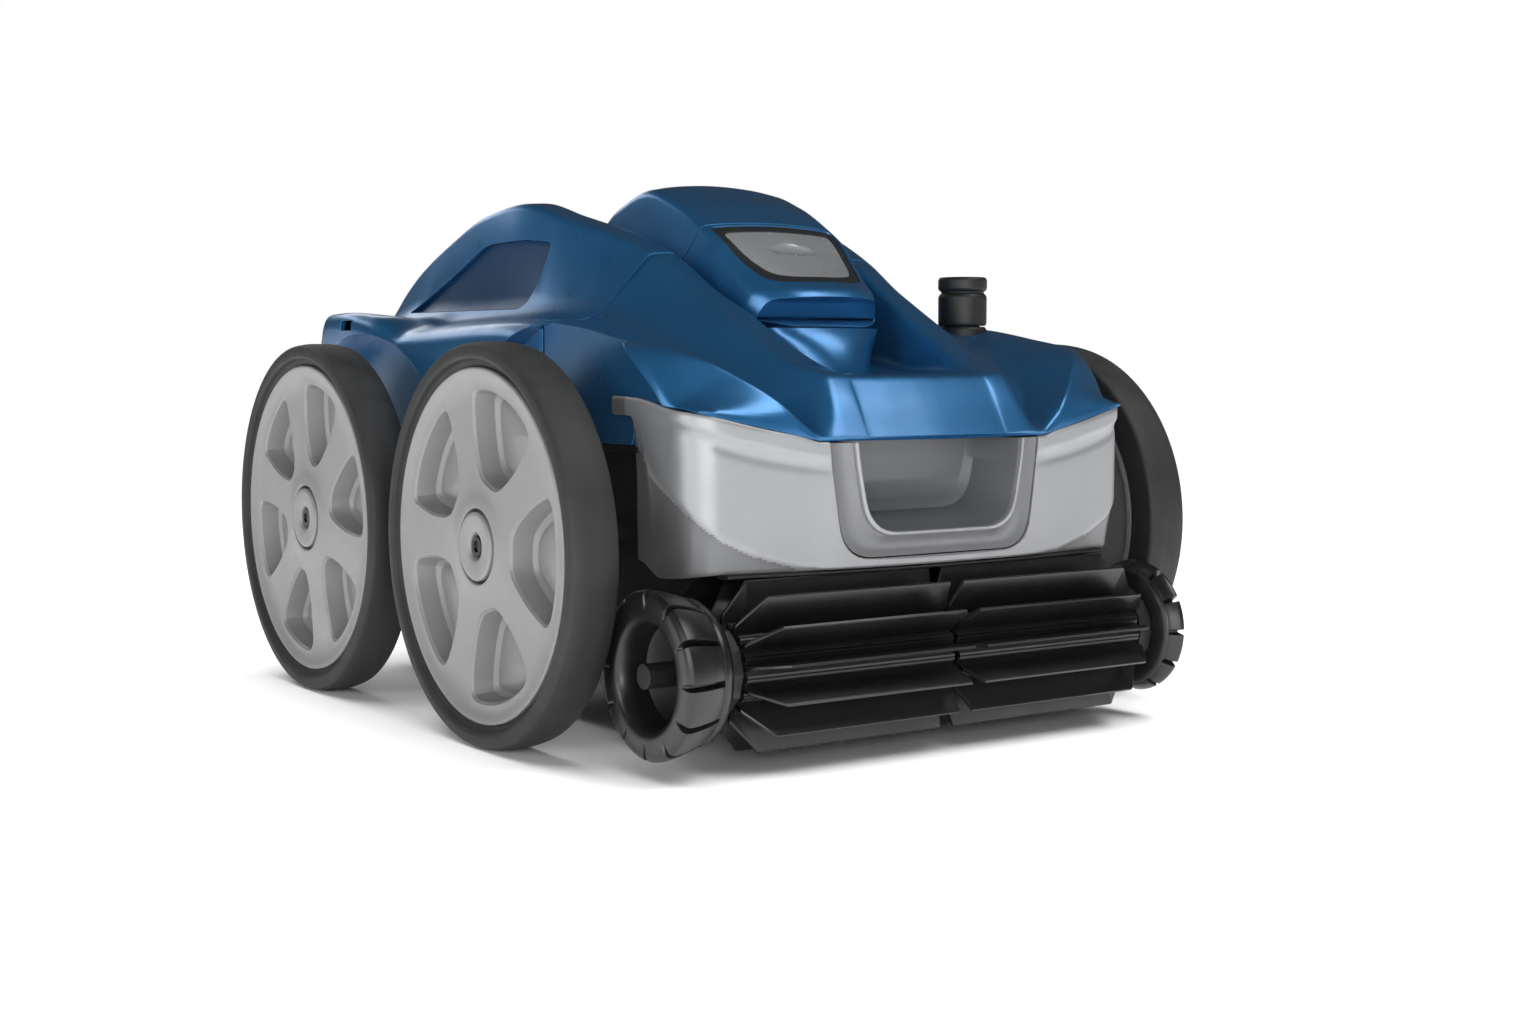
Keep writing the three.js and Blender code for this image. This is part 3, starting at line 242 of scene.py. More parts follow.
def copy_of(thing):
    twin = thing.copy()
    twin.data = thing.data.copy()
    bpy.context.scene.collection.objects.link(twin)
    return twin


def piece(name, thing, slot, body, stands_for=(), sharp=30, material=None):
    """Names a finished object, gives it its finish and smooth shading, and joins it to its body."""
    thing.name = name
    thing.data.name = name
    thing.data.materials.clear()
    thing.data.materials.append(material or MATERIALS[slot])
    thing.data.polygons.foreach_set("use_smooth", [True] * len(thing.data.polygons))
    thing.data.set_sharp_from_angle(angle=math.radians(sharp))
    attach(thing, body)
    if stands_for:
        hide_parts(*stands_for)
    return thing


def fillet(points, radii, steps=4):
    """A closed outline with every corner rounded; each corner gives the same number of points."""
    out = []
    count = len(points)
    for i, p in enumerate(points):
        p = Vector(p)
        before = Vector(points[i - 1]) - p
        after = Vector(points[(i + 1) % count]) - p
        r0 = min(radii[i], 0.46 * before.length)
        r1 = min(radii[i], 0.46 * after.length)
        start = p + before.normalized() * r0
        end = p + after.normalized() * r1
        for k in range(steps + 1):
            t = k / steps
            out.append(start * (1 - t) ** 2 + p * 2 * t * (1 - t) + end * t * t)
    return out


def loft(rings, cap_axes=(0, 2)):
    """A closed solid through rings of equal length."""
    count = len(rings[0])
    verts = [p for ring in rings for p in ring]
    faces = []
    for r in range(len(rings) - 1):
        for i in range(count):
            a = r * count + i
            b = r * count + (i + 1) % count
            faces.append((a, b, b + count, a + count))
    for start in (0, (len(rings) - 1) * count):
        flat = [Vector((verts[start + i][cap_axes[0]], verts[start + i][cap_axes[1]], 0)) for i in range(count)]
        for a, b, c in geometry.tessellate_polygon([flat]):
            faces.append((start + a, start + b, start + c))
    return solid(verts, faces)


def turned(profile, centre, sides=96, axis="X"):
    """A turned solid about an axis along X through (y, z), or along Z through (x, y)."""
    verts = []
    faces = []
    count = len(profile)
    for k in range(sides):
        angle = 2 * math.pi * k / sides
        for radius, place in profile:
            u = radius * math.cos(angle)
            v = radius * math.sin(angle)
            if axis == "X":
                verts.append((place, centre[0] + u, centre[1] + v))
            else:
                verts.append((centre[0] + u, centre[1] + v, place))
    for k in range(sides):
        nxt = (k + 1) % sides
        for i in range(count):
            j = (i + 1) % count
            faces.append((k * count + i, k * count + j, nxt * count + j, nxt * count + i))
    return solid(verts, faces)


def rounded(profile, radius, steps=3):
    return [tuple(p) for p in fillet(profile, [radius] * len(profile), steps)]


def block(x0, x1, y0, y1, z0, z1):
    ring = lambda z: [(x0, y0, z), (x1, y0, z), (x1, y1, z), (x0, y1, z)]
    return loft([ring(z0), ring(z1)], (0, 1))


class Line:
    """Rows of [place, value ...] read at any place with a curve that never overshoots."""

    def __init__(self, rows):
        self.at = [row[0] for row in rows]
        self.cols = [list(col) for col in zip(*[row[1:] for row in rows])]
        self.slopes = [self.slopes_of(col) for col in self.cols]

    def slopes_of(self, col):
        steps = [b - a for a, b in zip(self.at, self.at[1:])]
        grades = [(b - a) / h for a, b, h in zip(col, col[1:], steps)]
        slopes = [grades[0]]
        for (g0, g1, h0, h1) in zip(grades, grades[1:], steps, steps[1:]):
            if g0 * g1 <= 0:
                slopes.append(0.0)
            else:
                w0 = 2 * h1 + h0
                w1 = h1 + 2 * h0
                slopes.append((w0 + w1) / (w0 / g0 + w1 / g1))
        return slopes + [grades[-1]]

    def __call__(self, place):
        place = min(max(place, self.at[0]), self.at[-1])
        i = max(k for k, a in enumerate(self.at[:-1]) if a <= place)
        h = self.at[i + 1] - self.at[i]
        t = (place - self.at[i]) / h
        values = []
        for col, slopes in zip(self.cols, self.slopes):
            values.append(col[i] * (1 + 2 * t) * (1 - t) ** 2 + slopes[i] * h * t * (1 - t) ** 2
                          + col[i + 1] * t * t * (3 - 2 * t) + slopes[i + 1] * h * t * t * (t - 1))
        return values


# ---------- Wheels ----------
BEAD = 87.5
BARREL = 82.0
RIM_FACE = TYRE_OUT - 2.5
POCKET_OUT = 77.0
POCKET_IN = 33.0


def pocket_outline(centre, spokes, grow):
    """Outline of a recess between two spokes: wide at the rim, waisted spokes, round inner end."""
    spoke = Line([[POCKET_IN - 4, 12.5], [48, 11.0], [62, 12.5], [POCKET_OUT + 4, 17.0]])
    outer = POCKET_OUT + grow
    inner = POCKET_IN - grow
    half = lambda r: math.pi / spokes - math.asin((spoke(r)[0] - grow) / r)
    side = [inner + (outer - inner) * k / 10 for k in range(11)]
    points = [(r, centre + half(r)) for r in side]
    points += [(outer, centre + half(outer) * (1 - 2 * k / 10)) for k in range(1, 10)]
    points += [(r, centre - half(r)) for r in reversed(side)]
    points += [(inner, centre - half(inner) * (1 - 2 * k / 4)) for k in range(1, 4)]
    ring = [Vector((r * math.cos(a), r * math.sin(a))) for r, a in points]
    for _ in range(2):
        ring = [(ring[i - 1] + ring[i] * 2 + ring[(i + 1) % len(ring)]) / 4 for i in range(len(ring))]
    return ring


def wheel(name, side, y, spokes, first):
    body = body_for[name + "_rim"]
    tread = rounded([(BARREL + 0.3, TYRE_IN), (TYRE_R - 1.5, TYRE_IN), (TYRE_R, TYRE_IN + 7), (TYRE_R, TYRE_OUT - 7),
                     (TYRE_R - 1.2, TYRE_OUT - 0.6), (BEAD + 4.2, TYRE_OUT), (BEAD + 3.4, TYRE_OUT - 4),
                     (BEAD + 0.3, TYRE_OUT - 4.6), (BARREL + 0.3, RIM_FACE - 6.3)], 2.2, 4)
    ring = turned([(r, side * x) for r, x in tread], (y, AXLE_Z), 160)
    piece(name + "_tyre_fine", ring, "tyre_rubber", body, [name + "_tyre"], 40)

    face = [(9, RIM_FACE - 30), (18, RIM_FACE - 30), (21, RIM_FACE - 18), (BARREL - 3, RIM_FACE - 18),
            (BARREL - 3, TYRE_IN + 0.6), (BARREL, TYRE_IN + 0.6), (BARREL, RIM_FACE - 6), (BEAD, RIM_FACE - 6),
            (BEAD, RIM_FACE - 0.6), (BEAD - 0.8, RIM_FACE), (BEAD - 3.0, RIM_FACE - 0.3), (BEAD - 5.5, RIM_FACE - 1.6),
            (70, RIM_FACE - 2.0), (40, RIM_FACE - 1.7), (28, RIM_FACE - 1.4), (25, RIM_FACE - 0.9),
            (21, RIM_FACE - 0.1),
            (19.2, RIM_FACE), (18.6, RIM_FACE - 0.6), (18.5, RIM_FACE - 7), (9, RIM_FACE - 7)]
    rim = turned([(r, side * x) for r, x in face], (y, AXLE_Z), 160)
    tools = []
    depths = [(4.0, 2.2), (0.2, 1.6), (-1.9, 1.1), (-3.0, 0.0), (-13.0, -1.6), (-15.5, -4.2)]
    for k in range(spokes):
        centre = first + (k + 0.5) * 2 * math.pi / spokes
        rings = [[(side * (RIM_FACE + x), y + p.x, AXLE_Z + p.y) for p in pocket_outline(centre, spokes, grow)]
                 for x, grow in depths]
        tools.append(loft(rings, (1, 2)))
    piece(name + "_rim_fine", carve(rim, tools), "rim_grey", body, [name + "_rim"], 34)

    # Domed panels at the foot of the recesses.
    domes = []
    for k in range(spokes):
        centre = first + (k + 0.5) * 2 * math.pi / spokes
        rings = []
        for x, grow in [(-15.2, -4.6), (-14.0, -5.4), (-13.0, -8.0), (-12.4, -12.0)]:
            rings.append([(side * (RIM_FACE + x), y + p.x, AXLE_Z + p.y)
                          for p in pocket_outline(centre, spokes, max(grow, -9.0))])
        domes.append(loft(rings, (1, 2)))
    piece(name + "_rim_panels", merged(*domes), "rim_grey", body, (), 60)

    cap = rounded([(3.4, RIM_FACE - 6.7), (17, RIM_FACE - 6.7), (17, RIM_FACE + 0.4), (15.6, RIM_FACE + 1.0),
                   (7.6, RIM_FACE + 0.6), (6.4, RIM_FACE - 0.6), (6.2, RIM_FACE - 2.0), (3.4, RIM_FACE - 2.0)], 0.4, 2)
    piece(name + "_cap_fine", turned([(r, side * x) for r, x in cap], (y, AXLE_Z), 96), "rim_grey", body,
          [name + "_hub_cap"], 34)
    head = [(0.01, RIM_FACE - 15), (2.9, RIM_FACE - 15), (2.9, RIM_FACE - 1.6), (5.5, RIM_FACE - 1.5),
            (5.5, RIM_FACE - 0.9), (4.9, RIM_FACE - 0.3), (2.9, RIM_FACE - 0.3), (2.4, RIM_FACE - 1.2),
            (0.01, RIM_FACE - 1.2)]
    # The screw takes the nearly black steel, painted shade for the hole in the cap.
    piece(name + "_screw_fine", turned([(r, side * x) for r, x in head], (y, AXLE_Z), 48), "steel", body,
          [name + "_screw"], 34, SCREW_HOLE_PAINTED_SHADE_STEEL)


for end, y, spokes, first in (("front", FRONT_Y, 5, 2), ("rear", REAR_Y, 6, 16)):
    for hand, side in (("left", -1), ("right", 1)):
        wheel(end + "_" + hand, side, y, spokes, math.radians(first))

# ---------- Brush ----------
VANES = 14
TIP = (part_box("right_brush")[1][2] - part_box("right_brush")[0][2]) / MM / 2
BRUSH_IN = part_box("right_brush")[0][0] / MM
BRUSH_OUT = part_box("right_brush")[1][0] / MM


def brush_ring(x, tip, land):
    ring = []
    for k in range(VANES):
        middle = math.radians(180 - 7) + k * 2 * math.pi / VANES
        pitch = math.pi / VANES
        side = [(land, -pitch * 0.98), (land, -0.155), (17.9, -0.165), (17.5, -0.10), (18.6, -1.5 / 18.6),
                (tip - 0.9, -1.05 / tip), (tip, -0.5 / tip)]
        for r, a in side + [(r, -a) for r, a in reversed(side)]:
            ring.append((x, BRUSH_Y + r * math.cos(middle - a), BRUSH_Z + r * math.sin(middle - a)))
    return ring


def brush_section(side):
    near, far = (1.2, BRUSH_OUT)
    stations = [(BRUSH_IN, 27, 20), (BRUSH_IN + 0.5, 28, 22.6), (BRUSH_IN + 3, TIP, 22.8), (BRUSH_IN + 4, TIP, 22.8),
                (far - 13, TIP, 22.8), (far - 12, TIP - 0.4, 22.8), (far - 1, 27, 22.6), (far, 25.5, 20)]
    vanes = loft([brush_ring(side * x, tip, land) for x, tip, land in stations], (1, 2))
    collar = rounded([(6.4, near), (15, near), (15.4, near + 1), (14.6, near + 3.4), (15.2, BRUSH_IN - 1.2),
                      (17, BRUSH_IN + 1), (6.4, BRUSH_IN + 1)], 0.8, 2)
    ring = turned([(r, side * x) for r, x in collar], (BRUSH_Y, BRUSH_Z), 64)
    return merged(vanes, ring)


piece("right_brush_fine", brush_section(1), "black_vinyl", "brush_roller", ["right_brush"], 35)
piece("left_brush_fine", brush_section(-1), "black_vinyl", "brush_roller", ["left_brush"], 35)

LUGS = 12
LUG_STEPS = 18


def lug_wheel(node_name, side):
    """A domed wheel: a smooth inner ring, then lugs parted by slim slots, round a deep hollow."""
    low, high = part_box(node_name)
    start, end = sorted((abs(low[0]) / MM, abs(high[0]) / MM))
    width = end - start
    tip = (high[2] - low[2]) / MM / 2
    outer = [(0.17, 0), (0.60, 0), (0.66, 0.02), (0.80, 0.10), (0.86, 0.20), (0.875, 0.27), (0.865, 0.31),
             (0.885, 0.35),
             (0.93, 0.52), (0.97, 0.72), (0.99, 0.86), (0.985, 0.94), (0.95, 0.985), (0.90, 1.0)]
    inner = [(0.72, 1.0), (0.66, 0.97), (0.62, 0.90), (0.60, 0.72), (0.585, 0.5), (0.45, 0.42), (0.17, 0.4)]
    sides = LUGS * LUG_STEPS
    verts = []
    for k in range(sides):
        angle = 2 * math.pi * k / sides
        step = k % LUG_STEPS
        slot = 1.0 if step in (0, 1) else 0.0
        for share, depth in outer:
            cut = 0.13 * min(1, max(0, (depth - 0.31) / 0.05)) * slot
            radius = tip * (share - cut)
            verts.append((side * (start + depth * width), BRUSH_Y + radius * math.cos(angle),
                          BRUSH_Z + radius * math.sin(angle)))
        for share, depth in inner:
            verts.append((side * (start + depth * width), BRUSH_Y + tip * share * math.cos(angle),
                          BRUSH_Z + tip * share * math.sin(angle)))
    count = len(outer) + len(inner)
    faces = []
    for k in range(sides):
        nxt = (k + 1) % sides
        for i in range(count):
            j = (i + 1) % count
            faces.append((k * count + i, k * count + j, nxt * count + j, nxt * count + i))
    return solid(verts, faces)


for hand, side in (("right", 1), ("left", -1)):
    lug_node = hand + "_lug_wheel"
    piece(lug_node + "_fine", lug_wheel(lug_node, side), "black_vinyl", "brush_roller", [lug_node], 40)

# ---------- Cowls ----------
FIN_OUTER = Line([[-121, 60, 155], [-107, 58, 180], [-103, 58, 184], [-78, 64, 191], [-28, 67, 215], [-4, 67, 228],
                  [32, 73, 247], [57, 78, 257], [101, 89, 270], [137, 95, 279], [171, 98, 275], [212, 100, 262],
                  [270, 105, 230], [284, 105, 216]])
FIN_INNER = Line([[-121, 45, 154.5], [-107, 45, 179], [-103, 44, 183.4], [-91, 43, 186], [-55, 48, 202],
                  [-28, 50, 216], [-4, 54, 228], [32, 56, 248], [57, 60, 258], [101, 70, 271], [137, 76, 280],
                  [171, 79, 276], [212, 82, 263], [270, 88, 231], [284, 90, 216.6]])
CHANNEL = Line([[-121, 154], [-107, 178], [-103, 183], [-98, 183.6], [-48, 184], [-4, 190], [32, 200], [101, 205],
                [150, 214], [158, 232], [190, 226], [270, 204], [284, 202]])
FIN_FOOT = Line([[-121, 71, 154], [-107, 72, 157], [-80, 85, 172], [-45, 95, 188], [-4, 105, 203], [32, 108, 211],
                 [101, 108, 213], [212, 112, 213], [284, 115, 210]])
CROWN = Line([[-121, 84, 158], [-120.3, 85.5, 163], [-118, 90, 170], [-113, 99, 178], [-107, 108, 184.5],
              [-94, 120, 193], [-82, 125, 197.5], [-45, 128, 202],
              [-4, 130, 209], [60, 134, 213], [141, 135, 211], [177, 138, 209], [205, 142, 217], [270, 142, 219],
              [284, 140, 212]])
EDGE = Line([[-121, 134, 168], [-107, 137, 170], [-90, 141, 184], [-70, 144, 195], [-45, 147, 200], [13, 150, 206],
             [60, 152, 208], [141, 153, 205], [177, 154, 204], [205, 158, 214], [240, 160, 219], [268, 159, 218],
             [284, 155, 208]])
SKIRT = Line([[-121, 135, 166.5], [-107, 138, 168.4], [-95, 142, 169.5], [-60, 148, 173], [-55, 150, 150],
              [177, 152, 150], [205, 156, 150], [268, 156, 150], [284, 152, 150]])
PARTING = Line([[0, 152], [71, 152.5], [81, 155], [101, 159], [136, 166.6], [140, 167.6]])
COWL_RADII = [6, 6, 4, 4, 16, 18, 10, 1.2, 3, 3, 3]
NOSE_BOW = 12.0


def bow(x):
    return NOSE_BOW * (x / 136) ** 2


def cowl_ring(y, inset):
    lines = (FIN_INNER, FIN_OUTER, FIN_FOOT, CROWN, EDGE, SKIRT)
    fin_in, fin_out, foot, crown, rim, skirt = (line(y) for line in lines)
    floor = CHANNEL(y)[0]
    below = 30 if inset > 0 else 0
    half = [(0, floor - inset), (fin_in[0] - 2 + inset, floor - inset), (fin_in[0] + inset, fin_in[1] - inset),
            (fin_out[0] - inset, fin_out[1] - inset), (foot[0] - inset, foot[1] - inset), (crown[0], crown[1] - inset),
            (rim[0] - inset, rim[1] - inset), (skirt[0] - inset, skirt[1] - below)]
    half += [(x, min(PARTING(x)[0], skirt[1]) - below) for x in (101, 71, 0)]
    whole = half + [(-x, z) for x, z in reversed(half[1:-1])]
    half_radii = list(COWL_RADII)
    half_radii[5] = 3 + 15 * min(1, max(0, (y + 100) / 40))
    half_radii[4] = 6 + 10 * min(1, max(0, (y + 100) / 40))
    radii = half_radii + list(reversed(half_radii[1:-1]))
    fade = min(1, max(0, (-70 - y) / 37))
    return [(p.x, along(y) + fade * bow(p.x), p.y) for p in fillet([Vector(p) for p in whole], radii, 5)]


def cowl_skin(inset, start, end):
    stops = [start, -120.7, -120.3, -119.6, -119, -118, -117, -116, -114, -112, -109, -107.5, -106, -104.6, -103]
    stops += [-101, -98, -94, -90, -85]
    stops += list(range(-80, 281, 5)) + [151, 153, 157, 159, end]
    stops = sorted({s for s in stops if start <= s <= end})
    return loft([cowl_ring(y, inset) for y in stops])


def cylinder(radius, y, z, x0, x1, sides=160):
    return turned([(0.01, x0), (radius, x0), (radius, x1), (0.01, x1)], (y, z), sides)


ARCH = TYRE_R + 12
REAR_ARCH = TYRE_R + 6
FLANK = 138.0
COWL_WALL = 3
SEAM = 32.0
SEAM_HALF = 1.1


def cowl_body():
    outer = carve(cowl_skin(0, -121, 284), [cylinder(ARCH, FRONT_Y, AXLE_Z, FLANK, FAR),
                                            cylinder(ARCH, FRONT_Y, AXLE_Z, -FAR, -FLANK),
                                            cylinder(REAR_ARCH, REAR_Y, AXLE_Z, FLANK + 2.5, FAR),
                                            cylinder(REAR_ARCH, REAR_Y, AXLE_Z, -FAR, -FLANK - 2.5)])
    inner = carve(cowl_skin(COWL_WALL, -118, 281), [
        cylinder(ARCH + COWL_WALL, FRONT_Y, AXLE_Z, FLANK - COWL_WALL, FAR),
        cylinder(ARCH + COWL_WALL, FRONT_Y, AXLE_Z, -FAR, -FLANK + COWL_WALL),
        cylinder(REAR_ARCH + COWL_WALL, REAR_Y, AXLE_Z, FLANK - 0.5, FAR),
        cylinder(REAR_ARCH + COWL_WALL, REAR_Y, AXLE_Z, -FAR, 0.5 - FLANK)])
    return carve(outer, [inner])


def vent_outline(inset):
    corners = [(along(101) + inset, 256 - inset), (along(126), 258 - inset), (along(166) - inset / 2, 257 - inset),
               (along(192) - inset, 244 - inset), (along(247) - 2.5 * inset, 219 + inset), (along(190), 219 + inset),
               (along(112) + inset, 219 + inset), (along(104) + inset, 232)]
    return fillet([Vector(p) for p in corners], [5, 3, 8, 20, 4, 3, 5, 8], 3)


def prism_x(outline, x0, x1):
    return loft([[(x, p[0], p[1]) for p in outline] for x in (x0, x1)], (1, 2))


whole_cowl = cowl_body()
inlet = middle_of("inlet_socket")
well = block(-48.6, 48.6, along(-4), along(150), 120, FAR)
holes = [well, prism_x(vent_outline(0), 90, FAR), prism_x(vent_outline(0), -FAR, -90),
         turned([(0.01, 150), (14.0, 150), (14.0, FAR), (0.01, FAR)], (inlet[0] / MM, inlet[1] / MM), 64, "Z")]
whole_cowl = carve(whole_cowl, holes)
front_half = carve(copy_of(whole_cowl), [block(-FAR, FAR, along(SEAM) - SEAM_HALF, 800, -10, 500)])
slots = [block(150, FAR, along(228), along(243), 208, 214), block(-FAR, -150, along(228), along(243), 208, 214)]
rear_half = carve(whole_cowl, [block(-FAR, FAR, -800, along(SEAM) + SEAM_HALF, -10, 500)] + slots)
piece("front_cowl_fine", front_half, "body_blue", "chassis", ["front_cowl"], 32)

KNUCKLE = (along(157), 244.0)
brackets = []
for x0, x1 in ((-40, -30), (-14, 14), (30, 40)):
    barrel = rounded([(2.9, x0), (5.5, x0), (5.5, x1), (2.9, x1)], 0.5, 2)
    brackets.append(turned(barrel, KNUCKLE, 48))
    brackets.append(block(x0, x1, KNUCKLE[0] + 1, KNUCKLE[0] + 5, 226, KNUCKLE[1] - 2))
piece("rear_cowl_brackets", merged(*brackets), "body_blue", "chassis", (), 34)
piece("rear_cowl_fine", rear_half, "body_blue", "chassis", ["rear_cowl"], 32)

# Neck under the lid's lip.
LIP_Y = -34.0
LIP_BOTTOM = 208.0


def neck_ring(z, half, front, back, grow=0.0):
    ring = []
    for i in range(33):
        turn = math.pi + i * math.pi / 32
        ring.append(((half - grow) * math.cos(turn), along(back) + (back - front - grow) * math.sin(turn), z))
    return ring


neck_line = Line([[181, 31, -47], [186, 30, -46], [195, 33, -43], [203, 38, -38.5], [LIP_BOTTOM - 0.4, 41, -34.5]])
levels = [181, 184, 187, 190, 193, 196, 199, 202, 205, LIP_BOTTOM - 0.4]
neck = loft([neck_ring(z, neck_line(z)[0], neck_line(z)[1], -14) for z in levels], (0, 1))
piece("lid_neck", neck, "body_blue", "chassis", (), 40)

# ---------- Lid ----------
LID = Line([[LIP_Y, 227, 38, 225, 43, LIP_BOTTOM + 4], [-30, 229, 40, 227, 44, LIP_BOTTOM + 4.4],
            [0, 248, 43, 245, 46.5, 213.6], [27, 265.5, 44, 262.5, 49, 215.4], [55, 281, 44, 277, 49.6, 217],
            [83, 290, 44, 285, 50, 220], [115, 285, 44, 277, 50, 226], [150, 262, 42, 256, 49, 232]])


def lid_ring(y, inset, below):
    """One section of the lid; its front is rounded in plan and its lower edge sags in the middle."""
    middle, shoulder_x, shoulder_z, lower_x, lower_z = LID(y)
    sag = 4.0 * min(1, max(0, -y / 34))
    half = [(0, middle - inset), (shoulder_x * 0.6 - inset * 0.6, (middle * 2 + shoulder_z) / 3 - inset),
            (shoulder_x - inset, shoulder_z - inset), (lower_x - inset, lower_z - below),
            ((lower_x - inset) * 0.6, lower_z - sag - below)]
    whole = half + [(-x, z) for x, z in reversed(half[1:])]
    radii = [12, 12, 4, 1, 8, 8, 1, 4, 12]
    bend = 20 * min(1, max(0, (12 - y) / 46))
    ring = fillet([Vector(p) for p in whole], radii, 5)
    return [(p.x, along(y) + bend * (abs(p.x) / 42) ** 3.2, p.y) for p in ring]


def lid_skin(inset, start, end, soft=True):
    below = 20 if inset > 1 else 0
    stops = sorted({s for s in [start, start + 0.5, start + 1.2, start + 2.2, start + 3.4, *range(-30, 151, 4),
                                end - 2.5, end - 1, end] if start <= s <= end})
    rings = []
    for y in stops:
        extra = 0.0
        if soft and inset == 0:
            extra = 2.8 * max(0, 1 - (y - start) / 4.6) ** 2.4 + 0.95 * max(0, 1 - (end - y) / 2.6) ** 2
        rings.append(lid_ring(y, inset + extra, below))
    return loft(rings)


def lid_shell():
    return carve(lid_skin(0, LIP_Y, 150), [lid_skin(2.4, LIP_Y + 2.4, 147.6)])


def window_outline(inset):
    top = along(25.4) - inset
    foot = along(-22) + inset
    corners = [(-40.6 + inset, top), (-37.5 + inset, along(2)), (-28 + inset * 0.8, foot), (28 - inset * 0.8, foot),
               (37.5 - inset, along(2)), (40.6 - inset, top)]
    ring = fillet([Vector(p) for p in corners], [4, 30, 18, 18, 30, 4], 6)
    return [(p.x, p.y - 2.0 * (1 - (p.x / 41) ** 2) * (1 if p.y < along(0) else 0)) for p in ring]


def prism_z(outline, z0, z1):
    return loft([[(p[0], p[1], z) for p in outline] for z in (z0, z1)], (0, 1))


# The lid's seam leans back from its top to its sides.
NOSE_SEAM = 27.0
NOSE_SEAM_HALF = 0.55
BEZEL_FIT = 0.2
BEZEL_WIDTH = 5.0
BUTTON_GAP = 0.3


def before_seam(shift):
    """All that lies ahead of the leaning seam between the lid's nose and its rear."""
    top = along(NOSE_SEAM) + shift
    foot = along(47) + shift
    return prism_x([(-800, 0), (foot, 0), (foot, 238), (top, 262), (top, 500), (-800, 500)], -FAR, FAR)


rear_lid = carve(lid_shell(), [before_seam(NOSE_SEAM_HALF)])
knuckles = []
for x0, x1 in ((-29.5, -14.5), (14.5, 29.5)):
    barrel = rounded([(2.9, x0), (5.5, x0), (5.5, x1), (2.9, x1)], 0.5, 2)
    knuckles.append(turned(barrel, KNUCKLE, 48))
    knuckles.append(block(x0, x1, along(148.6), KNUCKLE[0] - 3.4, KNUCKLE[1] - 3, KNUCKLE[1] + 3))
piece("lid_knuckles", merged(*knuckles), "body_blue", "lid", (), 34)
piece("lid_shell_fine", rear_lid, "body_blue", "lid", ["lid_shell"], 32)
nose = carve(lid_shell(), [before_seam(-NOSE_SEAM_HALF)], "INTERSECT")
nose = carve(nose, [prism_z(window_outline(0), 226, 500)])
piece("lid_nose_fine", nose, "body_blue", "lid", ["lid_nose"], 32)
bezel = carve(lid_skin(0.5, LIP_Y, 150, False), [lid_skin(4.6, LIP_Y - 1, 151, False)])
bezel = carve(bezel, [prism_z(window_outline(BEZEL_FIT), 200, 500)], "INTERSECT")
bezel = carve(bezel, [prism_z(window_outline(BEZEL_WIDTH), 190, 520)])
piece("lid_bezel_fine", bezel, "black_plastic", "lid", ["lid_bezel"], 32, BEZEL_GREY)

button = carve(lid_skin(0.7, LIP_Y, 150, False), [lid_skin(5.0, LIP_Y - 1, 151, False)])
button = carve(button, [prism_z(window_outline(BEZEL_WIDTH + BUTTON_GAP), 200, 500)], "INTERSECT")
hollow = []
for k in range(1, 24):
    polar = math.pi * k / 24
    ring = []
    for i in range(48):
        turn = 2 * math.pi * i / 48
        out = 22 * math.sin(polar) * math.cos(turn)
        ring.append((out, along(5) + (7.5 - abs(out) * 0.12) * math.sin(polar) * math.sin(turn),
                     254 + 0.62 * (7.5 * math.sin(polar) * math.sin(turn)) + 5.5 * math.cos(polar)))
    hollow.append(ring)
button = carve(button, [loft(hollow, (0, 1))])
stem_line = [(0.01, 213.5), (4, 213.5), (4, 231.8), (8, 232), (8, 234), (4, 234.2), (4, 243), (0.01, 243)]
stem = turned(rounded(stem_line, 0.3, 2), (0, along(2)), 40, "Z")
piece("release_button_stem", stem, "window_grey", "release", (), 34)
piece("release_button_fine", button, "window_grey", "release", ["release_button"], 32)

# ---------- Bumper ----------
BUMPER_FRONT = -122
BUMPER_WALL = 2.4
SIDE_X = 141.0
CORNER_X = 124.0
WALL_END = 203.0
LEAN = math.atan2(2 * NOSE_BOW * CORNER_X / 136 ** 2, 1)
CORNER = (SIDE_X - CORNER_X) / (1 - math.sin(LEAN))
# Heights read at a distance run along the bumper from its middle.
BUMPER_LOW = Line([[0, 91], [118, 91], [128, 90.6], [144, 89.4], [174, 87], [193, 94], [230, 94]])
BUMPER_TOP = Line([[0, 151.6], [71, 152.1], [81, 154.6], [101, 158.6], [136, 166.2], [150, 167.9], [158, 169.2],
                   [170, 171.5], [185, 173.2], [230, 174.2]])
RIDGE = Line([[62, 143.5], [83, 145.9], [104, 150.6], [120, 154.1], [134, 158.4], [150, 161.8], [177, 165],
              [230, 165.6]])
PANEL_TOP = Line([[62, 137], [104, 143.6], [125, 149.6], [134, 152.9], [150, 156.4], [177, 157.4], [230, 157.4]])
PANEL_FOOT = Line([[0, 88], [80, 92.5], [96, 96.4], [112, 101.8], [127, 109.4], [139, 118.7], [151, 127.5],
                   [163, 133.5],
                   [172, 141.4], [177, 149], [179, 158], [230, 160]])


def bumper_path(run):
    """Place and outward direction on the bumper's plan, at a distance run along it from the middle."""
    if run <= CORNER_X:
        lean = math.atan2(2 * NOSE_BOW * run / 136 ** 2, 1)
        return run, BUMPER_FRONT + bow(run), math.sin(lean), -math.cos(lean)
    angle = min(math.pi / 2, LEAN + (run - CORNER_X) / CORNER)
    x = CORNER_X + CORNER * (math.sin(angle) - math.sin(LEAN))
    y = BUMPER_FRONT + bow(CORNER_X) + CORNER * (math.cos(LEAN) - math.cos(angle))
    return x, y + max(0.0, run - CORNER_X - CORNER * (math.pi / 2 - LEAN)), math.sin(angle), -math.cos(angle)


def step(value, sharp):
    return 1 / (1 + math.exp(-min(40, max(-40, value * sharp))))


